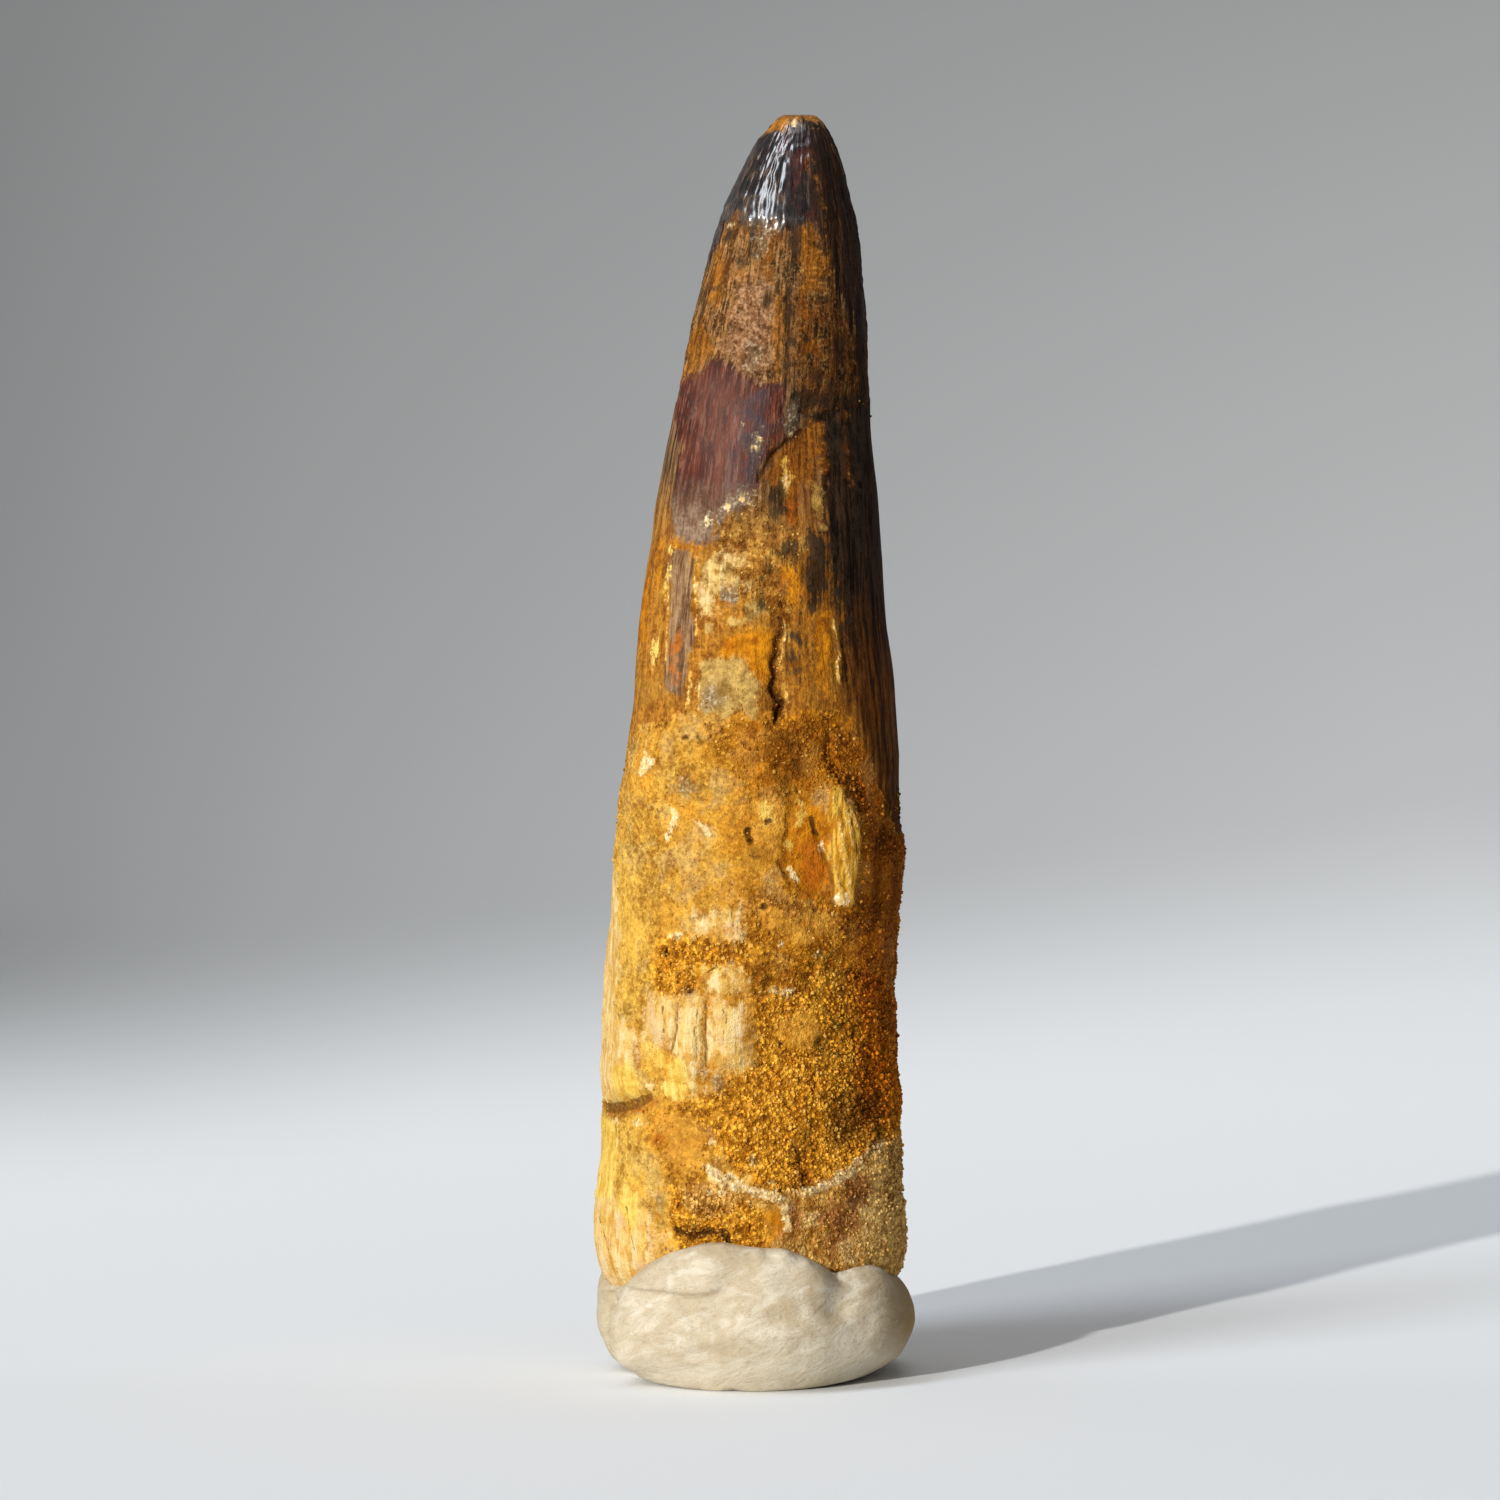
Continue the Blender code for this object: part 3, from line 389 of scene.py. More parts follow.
# Areas, spots and lines round the sides and back: the same, in degrees and millimetres.
BACK_AREAS = [
    ("black_enamel", 0.03, [
        (60, 101), (60, 82.7), (95, 80.7), (112, 83), (125, 84.7), (141, 82.5), (150, 87.7), (166, 84),
        (180, 86.7), (198, 82.5), (215, 84.7), (232, 86), (250, 87.7), (270, 85), (290, 88.7),
        (300, 101)]),
    ("worn_enamel", -0.12, [
        (75, 89), (75, 76.7), (110, 74.7), (130, 78), (150, 78.7), (170, 75), (190, 75.7), (212, 79),
        (235, 77.7), (262, 75), (285, 76.7), (300, 89), (250, 91.7), (150, 91.7)]),
    ("pink_wear", -0.04, [(140, 86), (152, 84.5), (170, 87), (178, 81), (164, 81.5), (150, 79.5)]),
    ("oxblood", 0.05, [
        (105, 77.7), (128, 79), (150, 81.7), (172, 78), (190, 78.7), (210, 80.5), (232, 79.7),
        (250, 75.5), (262, 76.7), (264, 66.7), (250, 62.5), (240, 64.7), (226, 61), (215, 64.7),
        (198, 63), (180, 66.7), (166, 71.5), (158, 66), (150, 68.7), (134, 63), (120, 64.7),
        (104, 68.7)]),
    ("dark_bone", 0.04, [
        (60, 84.7), (102, 82.7), (123, 75), (113, 67), (130, 60), (121, 54), (104, 52), (90, 45.5),
        (76, 43), (60, 41)]),
    ("amber", -0.10, [(160, 70), (170, 75), (178, 72), (184, 66.5), (176, 64), (163, 65.5)]),
    ("grey_bone", 0.06, [(204, 60), (213, 62.5), (219, 59), (224, 61), (222, 55), (217, 51), (209, 54)]),
    ("charcoal", 0.03, [(240, 59), (246, 61.5), (250, 57), (247, 52), (243, 54.5), (238, 55)]),
    ("olive_bone", 0.02, [(172, 60.5), (184, 62), (194, 58), (190, 54.5), (178, 52.5), (168, 56)]),
    ("olive_bone", 0.06, [(138, 57), (149, 60), (161, 58.5), (166, 54), (154, 51.5), (143, 53)]),
    ("grit", -0.04, [(150, 60), (160, 66), (200, 64), (212, 58), (198, 52), (165, 55)]),
    ("crust", 0.0, [
        (58, 41.5), (76, 41), (92, 42.7), (108, 46), (130, 50.7), (150, 48), (165, 48.7), (182, 51),
        (200, 49.7), (226, 46), (250, 44.7), (270, 47), (303, 48), (303, 3), (58, 3)]),
    ("grit", 0.0, [(60, 42), (110, 42), (125, 30), (118, 8), (60, 8)]),
    ("grit", 0.0, [(180, 44), (230, 40), (240, 20), (200, 10), (170, 20)]),
    ("sand", 0.0, [
        (118, 38.7), (134, 37), (150, 40.7), (168, 38), (176, 33.7), (166, 30), (172, 26.7), (148, 29),
        (130, 25.7), (122, 32)]),
    ("sand", 0.0, [(64, 31.7), (84, 29), (104, 28.7), (112, 18.7), (100, 10.7), (66, 12.7)]),
    ("furrow", -0.25, [(182, 45), (190, 44), (202, 36), (200, 33), (190, 38)]),
    ("pale_bone", 0.10, [
        (196, 19), (204, 24.5), (214, 23), (224, 26), (235, 22), (229, 17.5), (236, 13.5), (222, 10.5),
        (210, 13), (199, 12.5)]),
    ("yellow_bone", 0.06, [(218, 29), (222, 33), (232, 36), (240, 33), (236, 27), (226, 25.5)]),
    ("pale_bone", 0.05, [
        (236, 32), (240, 37.5), (250, 37), (262, 40), (276, 39.5), (276, 28), (266, 27), (254, 30),
        (244, 28.5)]),
    ("pale_bone", 0.06, [
        (243, 23.5), (250, 26), (262, 28.5), (276, 27.5), (276, 21.5), (264, 22), (252, 21)]),
    ("yellow_bone", 0.05, [(252, 18), (262, 20.2), (276, 19.8), (276, 13.8), (268, 13.2), (256, 14.5)]),
    ("pale_bone", 0.07, [(232, 8), (238, 13), (248, 12), (262, 14.6), (276, 14), (276, 4), (244, 4)]),
    ("orange_bone", -0.08, [
        (138, 21), (146, 24.5), (154, 22.5), (161, 25), (164, 19), (156, 15.5), (147, 17.5)]),
    ("rust", 0.0, [(146, 22), (155, 22), (156, 19), (147, 18)]),
    ("sand", 0.0, [
        (206, 11), (220, 14), (228, 18.5), (238, 19), (240, 16), (232, 12.5), (226, 7), (210, 6)]),
    ("pale_rim", 0.10, [
        (62, 17.5), (84, 16.5), (108, 18.2), (134, 15.7), (160, 16.2), (190, 17.7), (196, 12.7),
        (176, 9.2), (150, 6), (62, 5)]),
    ("red_stain", -0.05, [(140, 14.7), (156, 13.7), (152, 8.7), (138, 9.7)]),
    ("pale_bone", 0.05, [
        (206, 43), (213, 45.5), (219, 43.5), (226, 44), (223, 39.5), (216, 38), (209, 40.5)]),
]
BACK_SPOTS = [
    ("cream", 0.05, [
        (153, 44, 0.6, 1.2), (259, 40, 0.4, 0.8), (120, 35, 0.5, 0.4), (215, 33, 0.7, 0.5),
        (172, 47, 0.4, 0.3), (98, 37, 0.4, 0.3), (130, 12, 0.6, 0.4), (240, 47, 0.3, 0.6)]),
    ("crack_and_shade", -0.40, [
        (170, 53.2, 0.3, 0.5), (112, 55.7, 0.4, 0.7), (260, 37, 0.35, 0.5), (140, 34, 0.4, 0.5),
        (218, 29, 0.4, 0.5), (80, 24, 0.3, 0.4), (100, 33, 0.3, 0.5)]),
    ("umber_and_shade", -0.06, [(90, 26, 0.9, 2.4), (110, 20, 0.8, 1.6), (72, 38, 0.7, 2.0), (196, 30, 1.2, 0.8)]),
    ("rust", 0.0, [(170, 41, 0.6, 0.5), (250, 30, 0.4, 0.9), (120, 44, 0.8, 0.6)]),
    ("ash", 0.03, [(230, 42, 1.0, 0.8), (165, 57, 0.8, 0.8), (76, 28, 0.6, 1.2), (175, 82, 0.8, 1.4)]),
    ("charcoal", 0.0, [
        (120, 84, 0.4, 1.2), (200, 80, 0.4, 1.0), (230, 82, 0.3, 1.1), (150, 75, 0.5, 0.7)]),
]
BACK_LINES = [
    ("crack_and_shade", 0.15, -0.32, [(150, 64.7), (154, 58.7), (149, 53.2), (152, 47.7)]),
    ("crack_and_shade", 0.10, -0.12, [(95, 74.7), (125, 73.7), (152, 75.7)]),
    ("yellow_bone", 0.13, 0.08, [(232, 58.7), (230, 52.7), (233, 48.7)]),
    ("crack_and_shade", 0.08, -0.22, [(112, 22.7), (120, 24.4), (131, 24.9), (138, 23.6)]),
    ("crack_and_shade", 0.12, -0.26, [(214, 25), (216, 20), (213, 14)]),
]

# Lobes of bone that swell out of the root: height in millimetres, then place, half width and half height
# in pixels.
FRONT_LOBES = [
    (0.30, (662, 1026), 19, 34), (0.34, (689, 1046), 16, 56), (0.26, (729, 1034), 24, 46),
    (0.22, (622, 1058), 20, 46), (0.22, (724, 980), 22, 16), (0.20, (640, 1240), 24, 48),
    (0.26, (843, 850), 16, 62), (0.16, (724, 690), 34, 32), (0.14, (810, 850), 22, 50),
]

# How far the outlines of areas, those of the back's areas, and spots and lines wander from their points,
# and how large their wanderings are, in millimetres.
WANDER = 0.42
WANDER_SIZE = 1.1
BACK_WANDER = 1.5
BACK_WANDER_SIZE = 3.6
SMALL_WANDER = 0.15
SMALL_WANDER_SIZE = 0.6
# How deep inside its outline a mark begins to rise and has its full height, in millimetres. For a line it
# is how far from its middle the relief begins to fade and is gone, in half widths.
AREA_EDGE = (-0.12, 0.12)
SPOT_EDGE = (-0.08, 0.25)
LINE_EDGE = (0.5, 2.0)

# Relief by finish, in millimetres: ribs up the enamel, fibres of bone, wear, wrinkled black enamel, and
# granules, lumps and clumps of the crust. Granules lie flush with the surface at their level, from 0 in
# their gaps to 1 on their tops, and smooth enamel has only a share of the lumps.
RIBS = 0.030
RIB_SIZE = 0.40
FIBRES = 0.10
FIBRE_SIZE = 0.70
WEAR = 0.10
WEAR_SIZE = 0.55
WRINKLES = 0.080
WRINKLE_SIZE = 0.30
GRANULES = 0.24
GRANULE_SIZE = 0.50
GRANULE_LEVEL = 0.6
LUMPS = 0.14
LUMP_SIZE = 2.4
LUMPS_ON_ENAMEL = 0.2
CLUMPS = 0.20
CLUMP_SIZE = 1.5
# Crust and grit are granular in patches of this size, and between them to this share.
PATCHY = ("crust", "grit")
PATCH_SIZE = 2.6
BETWEEN_PATCHES = 0.25
# How strongly each finish has the granular relief, and how much of it bone and packed crust smooth away.
GRANULAR = {
    "crust": 0.60, "grit": 0.95, "sand": 1.0, "furrow": 1.0, "pale_rim": 0.60, "red_stain": 0.8,
    "pink_wear": 0.35, "worn_enamel": 0.20,
}
SMOOTH_BONE = ("pale_bone", "yellow_bone", "orange_bone", "flake")
SMOOTHED_BY_BONE = 0.85
SMOOTHED_BY_PACKING = 0.65

# Sand: name, the shell that it lies on, the form of a grain, range of radii in millimetres, and how many
# grains stand on a square millimetre of each finish.
GRAINS = [
    ("coarse_sand", "root", "pebble", (0.10, 0.23), {
        "sand": 8.5, "furrow": 10.0, "grit": 1.8, "pale_rim": 1.2}),
    ("fine_sand", "root", "chip", (0.06, 0.14), {
        "sand": 12.0, "furrow": 12.0, "grit": 9.0, "pale_rim": 9.0, "crust": 3.5, "red_stain": 6.0,
        "cream": 6.0}),
    ("neck_sand", "crown", "chip", (0.06, 0.18), {
        "grit": 8.0, "cream": 8.0, "crack_and_shade": 3.0, "olive_bone": 2.0}),
]
# The share of the grains that bone and oxblood enamel, and packed crust, are without.
BARE = 0.96
PACKED_BARE = 0.7
# The most triangles in one mesh of sand, the number of different grains, how far a grain's middle sinks
# into the shell at most, in radii, and the height below which there are no grains.
MOST_TRIANGLES = 190000
GRAIN_SHAPES = 6
GRAIN_SINK = 0.15
GRAINS_ABOVE = 6.9

# Folds pressed into the putty: half width and depth in millimetres, and the route in pixels.
PUTTY_FOLDS = [
    (0.25, 0.16, [(677, 1294), (686, 1308), (694, 1323)]),
    (1.10, 0.30, [(742, 1272), (730, 1290), (720, 1312)]),
    (0.90, 0.16, [(779, 1266), (796, 1286), (818, 1298), (838, 1306)]),
    (0.90, 0.26, [(841, 1279), (842, 1292), (840, 1306)]),
    (0.50, 0.12, [(700, 1330), (730, 1322), (764, 1326), (800, 1316)]),
    (0.45, 0.10, [(664, 1340), (690, 1356), (730, 1352)]),
    (0.60, 0.12, [(800, 1345), (840, 1338), (868, 1322)]),
    (0.34, 0.42, [(617, 1301), (611, 1314), (610, 1330), (612, 1348)]),
]
# Flaps folded over: height of the step in millimetres, how far it reaches from the edge in pixels, and
# the edge's route from left to right in pixels.
PUTTY_FLAPS = [
    (0.32, 14, [(626, 1287), (642, 1290), (662, 1291), (684, 1295), (708, 1294), (726, 1288)]),
    (0.16, 9, [(633, 1300), (642, 1308), (662, 1309)]),
]
# Lumps: height in millimetres, place in pixels, radius in millimetres.
PUTTY_LUMPS = [
    (0.30, (784, 1256), 0.8), (0.25, (880, 1275), 1.6), (0.18, (700, 1262), 1.2),
    (0.15, (812, 1276), 1.4), (0.55, (622, 1352), 2.2), (0.10, (660, 1265), 0.5),
    (0.10, (723, 1246), 0.5), (0.12, (758, 1254), 0.5), (0.12, (806, 1263), 0.5),
    (0.12, (846, 1276), 0.5), (0.10, (896, 1276), 0.6),
]
PUTTY_SUBDIVISIONS = 3
# Soft unevenness all over the putty, and its size, in millimetres.
PUTTY_SWELL = 0.10
PUTTY_SWELL_SIZE = 3.4
# How far a fold fades out, in half widths, and a lump, in radii.
FOLD_FADE = 2.2
LUMP_FADE = 1.5
# Half the height of a flap's step, and how far it rises from its left end and falls to its right end, all
# in pixels, from a little outside the end to well inside it.
FLAP_STEP = 2.4
FLAP_START = (-2, 8)
FLAP_STOP = (2, -14)
# The putty's relief starts between these heights in millimetres, so its underside stays flat.
PUTTY_RISE = (0.1, 1.5)
# How deep the lip bites into the tooth, and how far from it the pull starts to weaken and ends.
LIP_BITE = 0.18
LIP_REACH = (0.40, 0.85)

# Zones of the tooth's finish, in millimetres: where a tone begins, and where it is full. Some of these
# tones are painted light: shade down the side away from the sun and at the right edge, partly light on the
# pale rim there, and a grey-blue reflection low on the black enamel. First those across it, of which the
# shaded side is counted on the laid-out skin, then those up it.
SHADED_SIDE = (5.0, 7.4)
RIGHT_HALF = (-2.0, 6.0)
FAR_RIGHT = (2.5, 5.6)
RIGHT_EDGE = (6.4, 9.0)
LEFT_EDGE = (-6.0, -10.5)
WARM_CRUST = (-6.0, 5.0)
LOW_BONE = (46.0, 38.0)
BROWN_NECK = (62.5, 71.5)
LIGHTER_DARK_BONE = (64.0, 51.0)
GREYED_OXBLOOD = (70.5, 66.0)
BLACK_PAINTED_REFLECTION = (92.5, 90.0)
BROKEN_TIP = (96.9, 97.3)
SHADED_CRUST = (26.0, 34.0)
SHADED_SAND = (17.0, 22.0)
# The same for the putty, whose right side and back left lobe get painted shade.
PUTTY_RIGHT = (8.2, 12.2)
PUTTY_LEFT = (-10.4, -11.0)
PUTTY_FOOT = (4.5, 1.0)

# The low sun comes from the front left. A window above it gives the bluish gloss, and a ceiling light and
# the room's own light fill the shade. Degrees, metres and watts.
SUN_AZIMUTH = 33.0
SUN_ELEVATION = 15.5
SUN_STRENGTH = 3.4
SUN_SPREAD = 1.4
SUN_COLOUR = (1.0, 0.975, 0.93)
WINDOW_AZIMUTH = 50.0
WINDOW_ELEVATION = 47.0
WINDOW_DISTANCE = 1.5
WINDOW_SIZE = (0.36, 1.1)
WINDOW_POWER = 9.5
WINDOW_COLOUR = (0.86, 0.93, 1.0)
CEILING_HEIGHT = 1.6
CEILING_SIZE = 1.2
CEILING_POWER = 5.4
ROOM_LIGHT = 0.083
ROOM_COLOUR = (0.90, 0.95, 1.0, 1.0)
# The light on the floor besides the sun's, as a share of what gives a white floor full tone.
LIGHT_IN_SHADE = 0.53

# The floor's brightness at two rows of the photograph. Then that of the shaded backdrop at the left and
# right of the picture, at its top and at the shade's foot, and how the tone curves between left and right.
# Last the rows where the shade ends, at the left and right, and how soft its end is.
FLOOR_TONES = {1100: 0.79, 1450: 0.70}
SHADE_TOP = (0.225, 0.345)
SHADE_FOOT = (0.28, 0.62)
SHADE_CURVE = 0.7
SHADE_LINE = (1085, 900)
SHADE_SOFTNESS = 125
SWEEP_TINT = (0.985, 1.0, 1.02)

# The sweep in metres: its width, where its floor starts and its bend begins, the bend's radius, and the
# height of the wall above it.
SWEEP_WIDTH = 4.0
SWEEP_FRONT = -1.2
BEND_FROM = 0.45
BEND_RADIUS = 0.35
WALL = 1.2


def photo_ray(x, y):
    """The camera's direction of view through a pixel of the photograph."""
    pitch = math.radians(CAMERA_PITCH)
    right, up = (x - PHOTO_SIZE / 2) * SPREAD, (PHOTO_SIZE / 2 - y) * SPREAD
    ahead = math.cos(pitch) + up * math.sin(pitch)
    rise = up * math.cos(pitch) - math.sin(pitch)
    return Vector((right, ahead, rise)).normalized()


def photo_pixel(points):
    """The pixel of the photograph at which each point, in metres, lies."""
    pitch = math.radians(CAMERA_PITCH)
    right, ahead, up = (points - CAMERA_AT).T
    depth = ahead * math.cos(pitch) - up * math.sin(pitch)
    rise = ahead * math.sin(pitch) + up * math.cos(pitch)
    return PHOTO_SIZE / 2 + right / depth / SPREAD, PHOTO_SIZE / 2 - rise / depth / SPREAD


def smooth_step(low, high, value):
    """0 where the value is at low, 1 at high, and a smooth rise between."""
    share = np.clip((value - low) / (high - low), 0.0, 1.0)
    return share * share * (3 - 2 * share)


# Noise

SHUFFLE_SIZE = 4096
SHUFFLE = np.random.default_rng(5).permutation(SHUFFLE_SIZE)
JITTER = np.random.default_rng(6).random((SHUFFLE_SIZE, 3))


def picks(cell, seed):
    """A fixed random whole number for each cell of a lattice."""
    x, y, z = (cell.T + 101 * seed) % SHUFFLE_SIZE
    return SHUFFLE[(SHUFFLE[(SHUFFLE[x] + y) % SHUFFLE_SIZE] + z) % SHUFFLE_SIZE]


def lumps(points, seed):
    """Smooth noise from -1 to 1 with its lumps one unit apart."""
    cell = np.floor(points).astype(int)
    share = smooth_step(0, 1, points - cell)
    total = np.zeros(len(points))
    for corner in itertools.product((0, 1), repeat=3):
        weight = np.prod(np.where(corner, share, 1 - share), axis=1)
        total += weight * (2 * picks(cell + corner, seed) / SHUFFLE_SIZE - 1)
    return total


def noise_on(points, size, octaves=1, stretch=1.0, seed=0):
    """Noise from -1 to 1 at points in millimetres, in lumps of that size, drawn out along the height."""
    place = points / (size, size, size * stretch)
    layers = [0.5 ** k * lumps(place * 2 ** k, seed + k) for k in range(octaves)]
    return sum(layers) / sum(0.5 ** k for k in range(octaves))


def granules(points, size, seed=0):
    """Round grains packed at about that spacing: 1 on their tops, 0 in the gaps between them."""
    place = points / size
    cell = np.floor(place).astype(int)
    nearest = np.ones(len(points))
    for step in itertools.product((-1, 0, 1), repeat=3):
        own = cell + step
        centre = own + JITTER[picks(own, seed)]
        nearest = np.minimum(nearest, np.linalg.norm(centre - place, axis=1))
    return 1 - nearest ** 2


# Modelling


def only(piece):
    """Selects this piece alone and makes it active."""
    bpy.ops.object.select_all(action="DESELECT")
    piece.select_set(True)
    bpy.context.view_layer.objects.active = piece


def smoothed_copy(node, name, levels):
    """A CAD node's solid, merged, turned to quads and subdivided."""
    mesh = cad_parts[node].data.copy()
    mesh.materials.clear()
    piece = bpy.data.objects.new(name, mesh)
    bpy.context.scene.collection.objects.link(piece)
    only(piece)
    bpy.ops.object.mode_set(mode="EDIT")
    bpy.ops.mesh.select_all(action="SELECT")
    bpy.ops.mesh.remove_doubles(threshold=MM / 1000)
    bpy.ops.mesh.tris_convert_to_quads(face_threshold=math.radians(50), shape_threshold=math.radians(60))
    bpy.ops.object.mode_set(mode="OBJECT")
    rounding = piece.modifiers.new("rounding", "SUBSURF")
    rounding.levels = rounding.render_levels = levels
    bpy.ops.object.modifier_apply(modifier=rounding.name)
    bpy.ops.object.shade_smooth()
    return piece


def coordinates(piece):
    """The piece's vertices as an array, in millimetres."""
    flat = np.empty(len(piece.data.vertices) * 3)
    piece.data.vertices.foreach_get("co", flat)
    return flat.reshape(-1, 3) / MM


def normals(piece):
    """The outward direction at each vertex."""
    flat = np.empty(len(piece.data.vertices) * 3)
    piece.data.vertices.foreach_get("normal", flat)
    return flat.reshape(-1, 3)


def move_to(piece, points):
    """Puts the vertices where the array says, in millimetres."""
    piece.data.vertices.foreach_set("co", (points * MM).ravel())
    piece.data.update()


def surface_of(piece):
    return BVHTree.FromObject(piece, bpy.context.evaluated_depsgraph_get())


def give_values(mesh, name, values):
    """Stores one number at each vertex, for the finish to read."""
    attribute = mesh.attributes.new(name, "FLOAT", "POINT")
    attribute.data.foreach_set("value", values.astype(np.float32))


def give_places(mesh, name, places):
    """Stores a place at each vertex, from millimetres."""
    attribute = mesh.attributes.new(name, "FLOAT_VECTOR", "POINT")
    attribute.data.foreach_set("vector", (places * MM).astype(np.float32).ravel())


def fit_outline(piece, outline):
    """Draws a piece's two sides in or out until its outline is the photograph's."""
    points = coordinates(piece)
    across, down = photo_pixel(points * MM)
    rows, left, right = np.array(outline, float).T
    level = [across[abs(down - row) < ROW_REACH] for row in rows]
    left_shift = np.interp(down, rows, left - [own.min() for own in level])
    right_shift = np.interp(down, rows, right - [own.max() for own in level])
    left, right = np.interp(down, rows, left), np.interp(down, rows, right)
    side = (2 * across - left - right) / (right - left)
    shift = left_shift * np.clip(-side, 0, 1) ** 2 + right_shift * np.clip(side, 0, 1) ** 2
    points[:, 0] += shift * PIXEL
    move_to(piece, points)


class Skin:
    """The tooth's surface laid flat: degrees round it, with height and radius in millimetres."""

    def __init__(self, guide):
        points = coordinates(guide)
        self.surface = surface_of(guide)
        self.top = points[:, 2].max()
        self.levels = np.arange(points[:, 2].min() + SPINE_STEP / 2, self.top, SPINE_STEP)
        middles = []
        for level in self.levels:
            near = points[abs(points[:, 2] - level) < SPINE_STEP * 0.6]
            middles.append((near.min(0) + near.max(0)) / 2)
        self.middles = np.array(middles)

    def spine(self, height):
        """The middle of the tooth at each of many heights."""
        return [np.interp(height, self.levels, self.middles[:, axis]) for axis in (0, 1)]

    def unwrap(self, points):
        """Degrees, height and radius of points in millimetres."""
        x, y = self.spine(points[:, 2])
        across, ahead = points[:, 0] - x, y - points[:, 1]
        return np.degrees(np.arctan2(across, ahead)), points[:, 2], np.hypot(across, ahead)

    def seen(self, pixel):
        """Degrees and height of the surface that the photograph shows at a pixel."""
        origin, ray = Vector(CAMERA_AT), photo_ray(*pixel)
        hit = self.surface.ray_cast(origin, ray)[0]
        if hit is None:
            beside = origin + ray * (-origin.y / ray.y)
            hit = self.surface.find_nearest(beside)[0]
        angle, height, _ = self.unwrap(np.array([hit]) / MM)
        return float(angle[0]), float(height[0])


class Places:
    """Where each vertex lies on the skin, slightly displaced so that outlines come out ragged."""

    def __init__(self, angle, height, radius, points, wander, size):
        self.radius = np.maximum(radius, LEAST_RADIUS)
        self.angle = angle + np.degrees(wander * noise_on(points, size, 3, seed=1) / self.radius)
        self.height = height + wander * noise_on(points, size, 3, seed=11)

    def angle_about(self, middle, near=slice(None)):
        """The vertices' angles, counted on from a middle angle so that they don't jump near it."""
        return middle + (self.angle[near] - middle + 180) % 360 - 180

    def near(self, route):
        """The vertices within reach of a route."""
        angle, height = np.array(route).T
        own = self.angle_about(angle.mean())
        spare = np.degrees(-FAR_OUTSIDE / self.radius)
        beside = (own > angle.min() - spare) & (own < angle.max() + spare)
        level = (self.height > height.min() + FAR_OUTSIDE) & (self.height < height.max() - FAR_OUTSIDE)
        return np.flatnonzero(beside & level)

    def around(self, route, near):
        """The route's points as seen from those vertices: arc length and height away, in millimetres."""
        own = self.angle_about(sum(angle for angle, _ in route) / len(route), near)
        return [
            (np.radians(angle - own) * self.radius[near], height - self.height[near])
            for angle, height in route
        ]

    def to_line(self, route, near):
        """Distance from those vertices to an open line."""
        places = self.around(route, near)
        nearest = np.full(len(near), np.inf)
        for (ax, ay), (bx, by) in zip(places, places[1:]):
            dx, dy = bx - ax, by - ay
            share = np.clip(-(ax * dx + ay * dy) / (dx * dx + dy * dy + 1e-12), 0, 1)
            nearest = np.minimum(nearest, np.hypot(ax + share * dx, ay + share * dy))
        return nearest

    def inside(self, outline, near):
        """How deep those vertices lie inside a closed outline. Outside it the depth is negative."""
        places = self.around(outline, near)
        within = np.zeros(len(near), bool)
        for (ax, ay), (bx, by) in zip(places, places[1:] + places[:1]):
            crosses = (ay > 0) != (by > 0)
            at = ax - ay * (bx - ax) / np.where(crosses, by - ay, 1.0)
            within ^= crosses & (at > 0)
        away = self.to_line(outline + outline[:1], near)
        return np.where(within, away, -away)

    def in_spot(self, place, half_width, half_height, near):
        """How deep those vertices lie inside an upright ellipse."""
        across, up = self.around([place], near)[0]
        return (1 - np.hypot(across / half_width, up / half_height)) * min(half_width, half_height)


